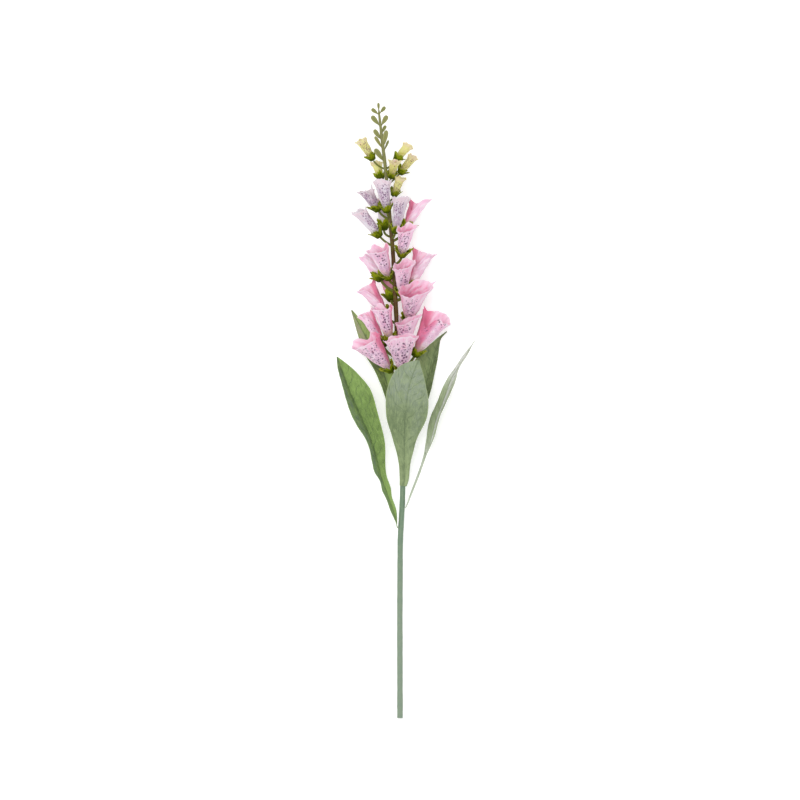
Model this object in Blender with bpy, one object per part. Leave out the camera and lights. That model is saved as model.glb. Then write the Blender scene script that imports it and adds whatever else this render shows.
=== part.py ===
"""A cut foxglove stem that lies on its back: stem, five leaves, bell flowers in their calyxes, buds."""

import math
import random

import bmesh
import bpy
from mathutils import Matrix, Quaternion, Vector

MM = 0.001

# Driving sizes. Places are read off a picture of the upright plant, whose stem is 37 inches long:
# across and up in picture points, and the depth toward the viewer in millimetres.
STEM_LENGTH = 939.8 * MM
CUT_ROW = 718.0
TIP_ROW = 102.0
MIDDLE_COLUMN = 400.0
POINT = STEM_LENGTH / (CUT_ROW - TIP_ROW)

GAP = 0.35 * MM
PETAL_THICKNESS = 0.8 * MM
SEPAL_THICKNESS = 0.8 * MM
LEAF_THICKNESS = 0.8 * MM

# The cut end and the tips of the two back leaves carry the plant, so the stem rises toward the flowers.
LIE_ANGLE = math.radians(4.2)

# Stem centre line: column, row, radius in millimetres.
STEM_LINE = [
    (400.0, 718, 4.3),
    (399.8, 620, 4.3),
    (400.2, 540, 4.3),
    (402.4, 502, 4.2),
    (402.8, 478, 4.2),
    (401.4, 436, 4.1),
    (400.0, 400, 4.0),
    (398.0, 355, 3.8),
    (396.0, 310, 3.6),
    (392.8, 249, 3.3),
    (390.0, 220, 3.0),
    (385.5, 168, 2.7),
    (382.0, 139, 2.5),
    (380.0, 122, 2.2),
    (379.0, 113, 1.7),
    (378.7, 109, 0.7),
]
CUT_RADIUS = STEM_LINE[0][2] * MM
STEM_SIDES = 12
PEDICEL_SIDES = 6

# Buds: column and row of the round end, depth, width and thickness in millimetres, and the row where the
# stalk starts.
BUDS = [
    (378.5, 104.6, 0, 5.6, 4.5, 112),
    (373.6, 110.4, 1, 8.0, 4.8, 115),
    (383.6, 108.6, 1, 7.6, 4.8, 114),
    (373.6, 118.4, 2, 9.8, 5.2, 127),
    (385.6, 118.4, 2, 9.8, 5.2, 127),
    (384.8, 127.2, -5, 7.0, 4.5, 134),
    (375.8, 132.0, -1, 9.2, 5.0, 141),
    (386.0, 133.6, 4, 10.0, 5.5, 149),
    (376.0, 138.5, 4, 7.0, 4.5, 150),
    (388.0, 141.5, -4, 4.8, 4.5, 152),
    (376.8, 151.8, 6, 10.6, 5.5, 163),
]

# Where a bud's blade starts between the stem and its end, and how narrow the blade is there.
BUD_STALK = 0.22
BUD_TAPER = 0.45

# Flowers of each age: how large their base is, how deep their mouth is for its width, whether the mouth
# has the full set of lobes, and the radius of the pedicel in millimetres.
AGES = {
    "pink": {"scale": 1.0, "flatness": 0.66, "full_lobes": True, "pedicel": 2.0},
    "pale": {"scale": 0.95, "flatness": 0.7, "full_lobes": True, "pedicel": 1.7},
    "young": {"scale": 0.8, "flatness": 0.85, "full_lobes": False, "pedicel": 1.3},
}

# Flowers from the bottom up: age, base (column, row, depth), mouth (column, row, depth), half width of the
# mouth, length of the left and the right horn as seen from outside, depth of the slit on the stem's side as
# a share of the length, the turn about the flower's own axis in degrees, and how far the mouth's right
# side, its front lip and its two back lobes stand above its middle, in millimetres.
FLOWERS = [
    ("pink", (391.5, 371.0, 7), (366.5, 341.5, 32), 21, (2, 4), 0.10, 50, (-4, 2, 8)),
    ("pink", (402.0, 373.5, 14), (400.8, 339.5, 45.5), 22.5, (3, 1), 0.0, -8, (3, 14.5, 0)),
    ("pink", (414.5, 356.0, 2), (435.3, 318.0, 13), 23.5, (1, 7), 0.30, 62, (-1, 10.5, 8)),
    ("pink", (404.0, 351.5, 3.5), (407.3, 320.5, 28.2), 19.5, (2, 4), 0.10, 0, (3, 8, -2)),
    ("pink", (384.0, 347.0, -5), (366.0, 313.5, -5), 13, (8, 0), 0.40, -35, (0, 3, 0)),
    ("pink", (402.0, 346.0, -10), (409.0, 316.0, -30), 16, (5, 5), 0.20, 0, (0, 0, 0)),
    ("pink", (390.5, 342.0, 9), (382.0, 308.5, 27), 16, (3, 2), 0.10, 0, (0, 2, 6)),
    ("pink", (407.2, 322.3, -8.5), (415.6, 289.5, 38.8), 26.6, (2, 8), 0.05, -26, (1, 10, 1)),
    ("pink", (387.0, 316.0, -5), (366.5, 286.5, -8), 15, (13, 0), 0.42, -45, (0, 3, 0)),
    ("pink", (391.2, 300.0, -9.5), (386.4, 274.0, -37), 14, (1, 1), 0.20, 0, (0, 0, 0)),
    ("pink", (401.4, 295.6, 2.0), (403.8, 265.5, 32.5), 17, (2, 2), 0.05, 0, (1, 4, 3)),
    ("pink", (410.0, 289.0, -4), (424.0, 251.5, -10), 17, (5, 3), 0.35, 55, (0, 1, 0)),
    ("pink", (381.0, 280.0, -9), (368.0, 256.5, -24), 14, (14, 3), 0.20, -15, (0, 2, 3)),
    ("pink", (389.0, 279.0, 7), (378.0, 250.5, 33), 17, (4, 2), 0.10, 5, (2, 3, 7)),
    ("pink", (401.5, 256.5, 11), (406.5, 229.5, 35), 15, (1, 5), 0.05, 0, (2, 4, 5)),
    ("pale", (384.0, 229.0, -11.5), (384.0, 200.0, -29), 14, (5, 5), 0.20, 0, (0, 0, 0)),
    ("pink", (405.0, 230.0, -4), (419.5, 199.5, -12), 14, (4, 2), 0.35, 50, (-6, -2, 0)),
    ("pale", (380.0, 236.5, 3), (359.5, 211.5, 9), 13, (4, 3), 0.15, 20, (-2, 4, 4)),
    ("pale", (395.0, 233.0, 9), (401.2, 199.0, 22), 13.5, (1, 2), 0.10, 0, (-2, 7, 0)),
    ("pale", (387.0, 212.0, 10.5), (382.0, 182.5, 23), 12.5, (1, 1), 0.05, 0, (0, 8, 0)),
    ("pale", (378.5, 210.5, -5), (366.0, 190.5, 1), 12.5, (9, 0), 0.30, -35, (5, 2, 0)),
    ("young", (393.8, 196.0, 6), (400.5, 178.0, 14), 8, (1, 1), 0.05, 0, (0, 0, 0)),
    ("young", (381.0, 179.0, -5), (376.5, 163.0, -16), 8.5, (1, 1), 0.05, 0, (0, 0, 0)),
    ("young", (391.0, 178.0, 6.5), (395.0, 161.5, 16.5), 8.5, (1, 1), 0.05, 0, (0, 0, 0)),
    ("young", (399.8, 173.5, 0), (413.3, 156.5, 6), 8, (1, 1), 0.05, 0, (0, 0, 0)),
    ("young", (373.0, 159.6, -5), (360.8, 139.8, -2), 9.5, (2, 1), 0.05, 0, (0, 0, 0)),
    ("young", (395.5, 160.5, -3), (408.5, 145.0, -8), 8.5, (1, 1), 0.05, 0, (0, 0, 0)),
]

# Places round a flower's mouth: degrees from the front, rise of the rim in millimetres at full size, and
# shares of the horn, of the front lip and of the back lobes.
FULL_LOBES = [
    (0, 0.0, 0, 1.0, 0), (25, 0.0, 0, 0.85, 0), (48, 0.0, 0, 0.35, 0),
    (68, 1.0, 0.1, 0.05, 0), (78, 2.2, 1.0, 0, 0), (88, 0.5, 0.1, 0, 0),
    (113, -1.5, 0, 0, 0.35), (146, 0.0, 0, 0, 1.0), (180, -3.0, 0, 0, 0.5),
    (214, 0.0, 0, 0, 1.0), (247, -1.5, 0, 0, 0.35),
    (272, 0.5, 0.1, 0, 0), (282, 2.2, 1.0, 0, 0), (292, 1.0, 0.1, 0.05, 0),
    (312, 0.0, 0, 0.35, 0), (335, 0.0, 0, 0.85, 0),
]
YOUNG_LOBES = [
    (0, 1.5, 0, 1, 0), (36, 0.2, 0, 0.5, 0), (72, 1.2, 1.0, 0, 0), (108, -0.8, 0, 0, 0.5),
    (144, 0.4, 0, 0, 1), (180, -1.0, 0, 0, 0.5), (216, 0.4, 0, 0, 1), (252, -0.8, 0, 0, 0.5),
    (288, 1.2, 1.0, 0, 0), (324, 0.2, 0, 0.5, 0),
]
# Shares of the length where the rings lie, from the base to the rim, and in millimetres at full size the
# radii of the first three rings and how far the rim turns outward.
FULL_RINGS = (0.0, 0.04, 0.15, 0.5, 0.84, 1.0)
YOUNG_RINGS = (0.0, 0.05, 0.2, 0.6, 1.0)
BASE_RADII = (1.9, 3.4, 4.9)
LIP_FLARE = 2.4

# Calyx, in millimetres at full size: radius and height of the rim of its foot, of its cup, of the notches
# and of the sepal tips, above the flower's base.
CALYX_FOOT = (2.2, -1.4)
CALYX_CUP = (6.5, 1.0)
CALYX_NOTCH = (8.8, 7.8)
CALYX_TIP = (13.6, 15.0)
SEPALS = 5

# Leaves: side of the stem and row of the base, then rows along the midrib: column, row, depth, the way the
# upper side faces (degrees from the viewer toward the right), fold, and half widths in millimetres.
LEAVES = {
    "leaf_left": {
        "side": -80,
        "row": 528,
        "colour": "leaf_green",
        "base_width": 2.5,
        "midrib": [
            (393.3, 511.0, 3, 42, 18, 6.5, 4.8),
            (389.0, 499.0, 5, 34, 22, 7.0, 5.4),
            (385.9, 490.0, 6, 31, 25, 9.0, 8.0),
            (382.3, 480.0, 8, 32, 26, 7.0, 8.0),
            (379.8, 471.0, 9, 34, 28, 17.0, 9.8),
            (377.4, 461.0, 10, 35, 30, 17.0, 12.0),
            (371.5, 441.0, 14, 36, 34, 19.0, 20.6),
            (362.0, 418.0, 17, 34, 34, 28.0, 25.8),
            (351.8, 396.0, 20, 34, 34, 23.0, 29.5),
            (343.8, 375.0, 22, 36, 32, 17.0, 19.0),
            (337.2, 357.0, 24, 38, 20, 0.8, 0.8),
        ],
    },
    "leaf_front": {
        "side": 8,
        "row": 486,
        "colour": "leaf_sage",
        "base_width": 5.5,
        "midrib": [
            (404.3, 478.0, 6.8, 180, 12, 7.4, 7.4),
            (404.3, 465.0, 9, 180, 14, 9.4, 8.6),
            (404.2, 452.0, 14, 180, 14, 14.4, 12.4),
            (404.3, 437.0, 22, 178, 12, 21.0, 20.0),
            (405.2, 417.0, 38, 176, 10, 33.0, 30.5),
            (407.6, 394.0, 57, 175, 10, 31.5, 33.0),
            (412.6, 375.0, 76, 175, 10, 18.0, 25.0),
            (418.6, 360.5, 92, 175, 5, 0.8, 0.8),
        ],
    },
    "leaf_right": {
        "side": 80,
        "row": 508,
        "colour": "leaf_sage",
        "base_width": 2.0,
        "midrib": [
            (409.8, 499.0, 3, -86, 14, 4.5, 5.0),
            (417.2, 480.0, 4, -79, 12, 5.0, 6.5),
            (424.6, 460.0, 5, -75, 10, 9.0, 9.0),
            (431.0, 440.0, 6, -71, 8, 13.0, 12.0),
            (436.2, 420.0, 7, -69, 8, 19.5, 14.5),
            (443.6, 400.0, 9, -66, 8, 14.5, 19.0),
            (450.3, 381.0, 10, -62, 8, 8.0, 16.0),
            (456.6, 370.0, 10.5, -66, 8, 7.5, 9.5),
            (462.3, 361.0, 11, -76, 8, 7.0, 7.0),
            (469.7, 349.5, 12.5, -78, 8, 5.0, 5.0),
            (474.8, 340.5, 14, -80, 5, 0.8, 0.8),
        ],
    },
    "leaf_back_right": {
        "side": 135,
        "row": 459,
        "colour": "leaf_green",
        "base_width": 2.0,
        "midrib": [
            (409.0, 440.0, -9, -35, 22, 5.0, 5.0),
            (415.5, 418.0, -17, -22, 22, 13.0, 11.0),
            (422.5, 396.0, -28, -14, 20, 24.0, 12.5),
            (428.6, 375.0, -38, -10, 16, 28.0, 9.5),
            (432.6, 358.0, -47, -6, 10, 22.0, 8.6),
            (437.0, 346.0, -51, 0, 3, 10.0, 4.0),
            (440.6, 338.0, -53, 0, 0, 3.0, 1.6),
            (447.0, 331.5, -54, 0, 0, 0.8, 0.8),
        ],
    },
    "leaf_back_left": {
        "side": 225,
        "row": 449,
        "colour": "leaf_green",
        "base_width": 2.0,
        "midrib": [
            (396.3, 431.0, -10, 38, 22, 5.0, 5.0),
            (393.0, 411.0, -17, 28, 22, 9.0, 9.0),
            (388.5, 391.0, -26, 20, 22, 11.5, 13.0),
            (382.5, 370.0, -36, 12, 18, 13.0, 16.0),
            (373.0, 350.0, -45, 6, 12, 15.0, 17.0),
            (361.5, 329.0, -54, 2, 4, 8.5, 9.0),
            (351.3, 310.0, -57, 0, 0, 0.8, 0.8),
        ],
    },
}
LEAF_ROWS = 22
LEAF_COLUMNS = (-1.0, -0.55, 0.0, 0.55, 1.0)
EDGE_WAVE = 1.3 * MM
EDGE_WAVES_ALONG = 4.5

COLOURS = {
    "stem_green": ((0.295, 0.365, 0.270), 0.62),
    "leaf_green": ((0.165, 0.315, 0.085), 0.60),
    "leaf_sage": ((0.300, 0.375, 0.255), 0.65),
    "calyx_green": ((0.160, 0.265, 0.020), 0.50),
    "pink": ((0.800, 0.420, 0.600), 0.55),
    "pale": ((0.760, 0.660, 0.780), 0.55),
    "young": ((0.740, 0.700, 0.300), 0.55),
}


def clear_scene():
    for thing in list(bpy.data.objects):
        bpy.data.objects.remove(thing, do_unlink=True)


def material(name):
    found = bpy.data.materials.get(name)
    if found:
        return found
    colour, roughness = COLOURS[name]
    made = bpy.data.materials.new(name)
    made.use_nodes = True
    shader = made.node_tree.nodes["Principled BSDF"]
    shader.inputs["Base Color"].default_value = (*colour, 1.0)
    shader.inputs["Roughness"].default_value = roughness
    shader.inputs["Metallic"].default_value = 0.0
    made.diffuse_color = (*colour, 1.0)
    return made


def place(column, row, depth):
    """A point of the upright plant from its picture point and its depth in millimetres."""
    return Vector(((column - MIDDLE_COLUMN) * POINT, (CUT_ROW - row) * POINT, depth * MM))


def stem_at(row):
    """The stem's centre and radius at a row of the picture."""
    for (c0, r0, w0), (c1, r1, w1) in zip(STEM_LINE, STEM_LINE[1:]):
        if r0 >= row >= r1:
            share = (r0 - row) / (r0 - r1)
            centre = place(c0 + (c1 - c0) * share, row, 0)
            return centre, (w0 + (w1 - w0) * share) * MM
    raise ValueError(f"row {row} is off the stem")


def smooth(share):
    share = min(1.0, max(0.0, share))
    return share * share * (3 - 2 * share)


def curve_through(rows, count):
    """Rows of numbers read evenly along a Catmull-Rom curve through the given rows."""
    padded = [rows[0]] + list(rows) + [rows[-1]]
    found = []
    for step in range(count):
        along = step / (count - 1) * (len(rows) - 1)
        part = min(int(along), len(rows) - 2)
        t = along - part
        p0, p1, p2, p3 = padded[part:part + 4]
        found.append([
            0.5 * (2 * b + (c - a) * t + (2 * a - 5 * b + 4 * c - d) * t * t
                   + (3 * b - a - 3 * c + d) * t ** 3)
            for a, b, c, d in zip(p0, p1, p2, p3)
        ])
    return found


def new_object(name, bm, colour, origin=Vector()):
    bmesh.ops.recalc_face_normals(bm, faces=bm.faces)
    return keep_object(name, bm, colour, origin)


def keep_object(name, bm, colour, origin=Vector()):
    mesh = bpy.data.meshes.new(name)
    bm.to_mesh(mesh)
    bm.free()
    mesh.materials.append(material(colour))
    mesh.shade_smooth()
    mesh.set_sharp_from_angle(angle=math.radians(50))
    made = bpy.data.objects.new(name, mesh)
    made.location = origin
    bpy.context.scene.collection.objects.link(made)
    return made


def ring_frame(tangent):
    """Two directions square to a tangent, the first as near the viewer's as can be."""
    across = tangent.cross(Vector((0, 0, 1)))
    if across.length < 1e-6:
        across = Vector((1, 0, 0))
    across.normalize()
    return across.cross(tangent).normalized(), across


def add_tube(bm, points, radii, sides, last_tangent=None):
    """A closed round tube through points, with flat ends."""
    rings = []
    for i, (point, radius) in enumerate(zip(points, radii)):
        before = points[max(i - 1, 0)]
        after = points[min(i + 1, len(points) - 1)]
        tangent = (after - before).normalized()
        if last_tangent is not None and i == len(points) - 1:
            tangent = last_tangent
        front, across = ring_frame(tangent)
        ring = []
        for k in range(sides):
            turn = 2 * math.pi * k / sides
            ring.append(bm.verts.new(point + radius * (math.cos(turn) * front + math.sin(turn) * across)))
        rings.append(ring)
    for low, high in zip(rings, rings[1:]):
        for k in range(sides):
            bm.faces.new((low[k], low[(k + 1) % sides], high[(k + 1) % sides], high[k]))
    bm.faces.new(rings[0][::-1])
    bm.faces.new(rings[-1])


def bezier(a, b, c, count):
    return [a.lerp(b, t).lerp(b.lerp(c, t), t) for t in (i / (count - 1) for i in range(count))]


def flower_frame(base, mouth, turn_degrees):
    """Turns a flower's own axes to the plant: Z from base to mouth, X away from the stem."""
    axis = (mouth - base).normalized()
    middle = (base + mouth) / 2
    row = CUT_ROW - middle.y / POINT
    outward = middle - stem_at(row)[0]
    side = axis.cross(outward).normalized()
    front = side.cross(axis).normalized()
    turned = Matrix((front, side, axis)).transposed()
    return turned.to_quaternion() @ Quaternion((0, 0, 1), math.radians(turn_degrees))


def pedicel(base, rotation, age):
    """The short stalk from inside the stem to just under a calyx."""
    axis = rotation @ Vector((0, 0, 1))
    end = base - axis * (GAP - CALYX_FOOT[1] * MM)
    row = CUT_ROW - base.y / POINT
    reach = (base - stem_at(row)[0]).length
    drop = max(3.0 * MM, 0.8 * reach)
    start = stem_at(row + drop / POINT)[0]
    bend = end - axis * (end - start).length * 0.45
    radius = AGES[age]["pedicel"] * MM
    bm = bmesh.new()
    add_tube(bm, bezier(start, bend, end, 3), [radius * 1.15, radius, radius], PEDICEL_SIDES, axis)
    return bm


def bud(column, row, depth, width, thickness, stalk_row):
    """One flat bud, round at its end and narrowed to its stalk."""
    start = stem_at(stalk_row)[0]
    head = place(column, row, depth)
    axis = (head - start).normalized()
    end = head + axis * width / 2 * MM
    foot = start.lerp(end, BUD_STALK)
    bm = bmesh.new()
    bmesh.ops.create_uvsphere(bm, u_segments=8, v_segments=6, radius=0.5)
    for vertex in bm.verts:
        taper = BUD_TAPER + (1 - BUD_TAPER) * (vertex.co.z + 0.5)
        vertex.co.x *= taper * width * MM
        vertex.co.y *= taper * thickness * MM
        vertex.co.z *= (end - foot).length
    side = Vector((0, 0, 1)).cross(axis).normalized()
    turned = Matrix((side, Vector((0, 0, 1)), axis)).transposed().to_4x4()
    bmesh.ops.transform(bm, matrix=Matrix.Translation((foot + end) / 2) @ turned, verts=bm.verts)
    stalk_end = foot.lerp(end, 0.2)
    add_tube(bm, [start, start.lerp(stalk_end, 0.5), stalk_end], [1.1 * MM, 0.9 * MM, 0.9 * MM], 5)
    return bm


def build_stem():
    """The main stem with its pedicels and buds, joined into one body."""
    bm = bmesh.new()
    points = [place(column, row, 0) for column, row, radius in STEM_LINE]
    radii = [radius * MM for column, row, radius in STEM_LINE]
    add_tube(bm, points, radii, STEM_SIDES)
    stem = new_object("stem", bm, "stem_green")

    branches = bpy.data.collections.new("branches")
    bpy.context.scene.collection.children.link(branches)
    shapes = [bud(*row) for row in BUDS]
    for age, base, mouth, half_width, horns, slit, turn, edge in FLOWERS:
        base = place(*base)
        shapes.append(pedicel(base, flower_frame(base, place(*mouth), turn), age))
    for number, shape in enumerate(shapes):
        branch = new_object(f"branch_{number}", shape, "stem_green")
        bpy.context.scene.collection.objects.unlink(branch)
        branches.objects.link(branch)

    union = stem.modifiers.new("union", "BOOLEAN")
    union.operation = "UNION"
    union.operand_type = "COLLECTION"
    union.collection = branches
    union.solver = "EXACT"
    union.use_self = True
    bpy.context.view_layer.update()
    joined = bpy.data.meshes.new_from_object(stem.evaluated_get(bpy.context.evaluated_depsgraph_get()))
    stem.modifiers.clear()
    stem.data = joined
    for branch in list(branches.objects):
        bpy.data.objects.remove(branch, do_unlink=True)
    bpy.data.collections.remove(branches)
    return stem


def calyx_sheet(scale, chance):
    """The outer face of a cup with five pointed sepals."""
    bm = bmesh.new()
    columns = 2 * SEPALS
    foot, cup, rim = [], [], []
    for k in range(columns):
        turn = 2 * math.pi * k / columns
        edge = CALYX_NOTCH
        if k % 2 == 0:
            edge = (CALYX_TIP[0] + chance.uniform(-1.2, 1.6), CALYX_TIP[1] + chance.uniform(-2.0, 1.0))
        for ring, (r, z) in ((foot, CALYX_FOOT), (cup, CALYX_CUP), (rim, edge)):
            height = z * scale if z > 0 else z
            at = Vector((r * scale * math.cos(turn), r * scale * math.sin(turn), height)) * MM
            ring.append(bm.verts.new(at))
    bm.faces.new(foot[::-1])
    for low, high in ((foot, cup), (cup, rim)):
        for k in range(columns):
            n = (k + 1) % columns
            bm.faces.new((low[k], low[n], high[n], high[k]))
    return bm


def flower_sheet(age, length, half_width, horns, slit, edge, chance):
    """The outer face of a bell: a widening tube, closed at its base, with a lobed and horned mouth."""
    scale = AGES[age]["scale"]
    full = AGES[age]["full_lobes"]
    lobes, rings = (FULL_LOBES, FULL_RINGS) if full else (YOUNG_LOBES, YOUNG_RINGS)
    flat = AGES[age]["flatness"]
    bm = bmesh.new()
    grid = []
    slant, lip, hood = edge
    lift = []
    for degrees, rise, horn, front, back in lobes:
        drawn = rise * scale * chance.uniform(0.7, 1.4)
        tilted = slant * math.sin(math.radians(degrees))
        lift.append((drawn + tilted + lip * front + hood * back) * MM)
    for number, share in enumerate(rings):
        ring = []
        for (degrees, rise, horn, front, back), raised in zip(lobes, lift):
            turn = math.radians(degrees)
            upper = max(0.0, (share - 0.3) / 0.7) ** 1.5
            cleft = slit * length * max(0.0, math.cos(turn - math.pi)) ** 6
            horn_length = (horns[1] if degrees < 180 else horns[0]) * MM * horn
            height = share * length + upper * (raised - cleft)
            if number < 3:
                radius = BASE_RADII[number] * scale * MM
                ellipse = 1.0
            else:
                open_share = max(0.0, (height / length - 0.15) / 0.85)
                low = BASE_RADII[2] * scale * MM
                radius = low + (half_width * MM - low) * open_share ** 0.8
                ellipse = 1.0 - (1.0 - flat) * smooth(open_share * 1.3)
            if share == 1.0:
                radius += LIP_FLARE * scale * MM * (0.4 if cleft > 0.1 * length else 1.0) + horn_length
                height += 0.45 * horn_length
            x = radius * math.cos(turn) * ellipse
            y = radius * math.sin(turn)
            ring.append(bm.verts.new((x, y, height)))
        grid.append(ring)
    bm.faces.new(grid[0][::-1])
    count = len(lobes)
    for low, high in zip(grid, grid[1:]):
        for k in range(count):
            n = (k + 1) % count
            bm.faces.new((low[k], low[n], high[n], high[k]))
    return bm


def solidify(thing, thickness, offset):
    """Gives a sheet its thickness, on triangles so that both faces are split alike."""
    bm = bmesh.new()
    bm.from_mesh(thing.data)
    bmesh.ops.triangulate(bm, faces=bm.faces, quad_method="SHORT_EDGE")
    bm.to_mesh(thing.data)
    bm.free()
    wall = thing.modifiers.new("wall", "SOLIDIFY")
    wall.thickness = thickness
    wall.offset = offset
    wall.use_even_offset = True
    wall.use_quality_normals = True


def build_flower(number, age, base, mouth, half_width, horns, slit, turn, edge):
    chance = random.Random(100 + number)
    base = place(*base)
    mouth = place(*mouth)
    rotation = flower_frame(base, mouth, turn)
    bell = keep_object(
        f"bell_{number:02d}",
        flower_sheet(age, (mouth - base).length, half_width, horns, slit, edge, chance),
        age,
        base,
    )
    calyx = keep_object(f"calyx_{number:02d}", calyx_sheet(AGES[age]["scale"], chance), "calyx_green", base)
    solidify(bell, PETAL_THICKNESS, -1)
    solidify(calyx, SEPAL_THICKNESS, -1)
    for thing in (bell, calyx):
        thing.rotation_mode = "QUATERNION"
        thing.rotation_quaternion = rotation
    calyx.rotation_quaternion = rotation @ Quaternion((0, 0, 1), chance.uniform(0, 2 * math.pi / SEPALS))
    return [bell, calyx]


def leaf_rows(leaf):
    """Rows along the midrib, with the base set beside the stem."""
    centre, radius = stem_at(leaf["row"])
    side = math.radians(leaf["side"])
    away = (radius + GAP + LEAF_THICKNESS) * 1.04
    column = MIDDLE_COLUMN + (centre.x + away * math.sin(side)) / POINT
    width = leaf["base_width"]
    facing = leaf["side"] + 180
    facing -= 360 * round((facing - leaf["midrib"][0][3]) / 360)
    first = (column, leaf["row"], away * math.cos(side) / MM, facing, 5, width, width)
    return [first] + leaf["midrib"]


def leaf_sheet(leaf, chance, floor):
    """The underside of a leaf: folded along its midrib, waved along its edges, kept above the floor."""
    rows = curve_through(leaf_rows(leaf), LEAF_ROWS)
    middles = [place(*row[:3]) for row in rows]
    phases = (chance.uniform(0, 6), chance.uniform(0, 6))
    bm = bmesh.new()
    grid = []
    for i, row in enumerate(rows):
        facing, fold, left, right = row[3:]
        tangent = (middles[min(i + 1, len(rows) - 1)] - middles[max(i - 1, 0)]).normalized()
        turn = math.radians(facing)
        normal = Vector((math.sin(turn), 0, math.cos(turn)))
        normal = (normal - normal.dot(tangent) * tangent).normalized()
        side = tangent.cross(normal)
        lift = math.radians(fold)
        line = []
        for share in LEAF_COLUMNS:
            width = (left if share < 0 else right) * MM
            wave = math.sin(EDGE_WAVES_ALONG * 2 * math.pi * i / LEAF_ROWS + phases[share > 0])
            wave *= EDGE_WAVE * abs(share) ** 2 * min(1.0, width / (12 * MM))
            across = side * math.cos(lift) * share + normal * math.sin(lift) * abs(share)
            point = middles[i] + across * width + normal * wave
            line.append(bm.verts.new(floor(point)))
        grid.append(line)
    for low, high in zip(grid, grid[1:]):
        for k in range(len(LEAF_COLUMNS) - 1):
            bm.faces.new((low[k], low[k + 1], high[k + 1], high[k]))
    return bm


def build_leaf(name, leaf, number, floor):
    bm = leaf_sheet(leaf, random.Random(40 + number), floor)
    origin = place(*leaf_rows(leaf)[0][:3])
    bmesh.ops.translate(bm, vec=-origin, verts=bm.verts)
    made = keep_object(name, bm, leaf["colour"], origin)
    solidify(made, LEAF_THICKNESS, 1)
    return made


def floor_under(matrix):
    """A function that lifts a point of the plant to the floor where it lies below it."""
    inverse = matrix.inverted()

    def lifted(point):
        low = matrix @ point
        if low.z >= 0:
            return point
        return inverse @ Vector((low.x, low.y, 0.0))

    return lifted


def middle_of(things):
    """The middle of the bounds in X and Y of the given objects, as the viewport shows them."""
    depsgraph = bpy.context.evaluated_depsgraph_get()
    corners = []
    for thing in things:
        shown = thing.evaluated_get(depsgraph)
        corners += [shown.matrix_world @ vertex.co for vertex in shown.data.vertices]
    low = [min(corner[i] for corner in corners) for i in (0, 1)]
    high = [max(corner[i] for corner in corners) for i in (0, 1)]
    return (low[0] + high[0]) / 2, (low[1] + high[1]) / 2


def main():
    clear_scene()
    plant = bpy.data.objects.new("plant", None)
    bpy.context.scene.collection.objects.link(plant)
    rise = CUT_RADIUS * math.cos(LIE_ANGLE)
    lying = Matrix.Translation((0, 0, rise)) @ Matrix.Rotation(LIE_ANGLE, 4, "X")
    things = [build_stem()]
    for number, (name, leaf) in enumerate(LEAVES.items()):
        things.append(build_leaf(name, leaf, number, floor_under(lying)))
    for number, row in enumerate(FLOWERS, start=1):
        things += build_flower(number, *row)
    for thing in things:
        thing.parent = plant
    plant.matrix_world = lying
    bpy.context.view_layer.update()
    x, y = middle_of(things)
    plant.location.x -= x
    plant.location.y -= y
    bpy.context.view_layer.update()


main()
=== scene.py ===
"""The looks of the foxglove stem: cloth bells, calyxes, leaves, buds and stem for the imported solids."""

import math
import random

import bpy
import numpy as np
from mathutils import Matrix, Quaternion, Vector


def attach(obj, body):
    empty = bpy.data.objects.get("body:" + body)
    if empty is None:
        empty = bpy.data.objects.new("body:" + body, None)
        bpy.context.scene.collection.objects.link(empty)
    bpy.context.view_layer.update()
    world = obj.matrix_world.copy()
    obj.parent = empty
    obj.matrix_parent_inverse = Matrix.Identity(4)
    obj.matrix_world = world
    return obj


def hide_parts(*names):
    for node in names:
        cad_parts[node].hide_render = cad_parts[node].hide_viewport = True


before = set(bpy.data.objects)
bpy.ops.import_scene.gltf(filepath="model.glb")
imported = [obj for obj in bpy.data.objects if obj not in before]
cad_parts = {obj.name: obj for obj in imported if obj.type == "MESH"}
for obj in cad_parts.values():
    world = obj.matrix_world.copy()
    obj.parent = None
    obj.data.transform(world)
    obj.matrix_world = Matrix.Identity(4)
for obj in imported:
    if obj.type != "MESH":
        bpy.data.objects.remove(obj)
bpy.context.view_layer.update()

MM = 0.001

# The upright plant is read off a picture: across and up in picture points, depth in mm to the viewer.
STEM_LENGTH = 939.8 * MM
CUT_ROW = 718.0
TIP_ROW = 102.0
MIDDLE_COLUMN = 400.0
MIDDLE_ROW = 400.0
PICTURE_SIDE = 800.0
POINT = STEM_LENGTH / (CUT_ROW - TIP_ROW)
LIE_ANGLE = math.radians(4.2)

GAP = 0.35 * MM
CLOTH = 0.45 * MM
LEAF_CLOTH = 0.6 * MM
LEAF_THICKNESS = 0.8 * MM

# Stem centre line: column, row, radius in millimetres.
STEM_LINE = [
    (400.0, 718, 4.3), (399.8, 620, 4.3), (400.2, 540, 4.3), (402.4, 502, 4.2),
    (402.8, 478, 4.2), (401.4, 436, 4.1), (400.0, 400, 4.0), (398.0, 355, 3.8),
    (396.0, 310, 3.6), (392.8, 249, 3.3), (390.0, 220, 3.0), (385.5, 168, 2.7),
    (382.0, 139, 2.5), (380.0, 122, 2.2), (379.0, 113, 1.7), (378.7, 109, 0.7),
]
STEM_SIDES = 32
STEM_RINGS = 300
STALK_SIDES = 14
STALK_RINGS = 16
CAP_RADIUS = 0.01 * MM

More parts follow.
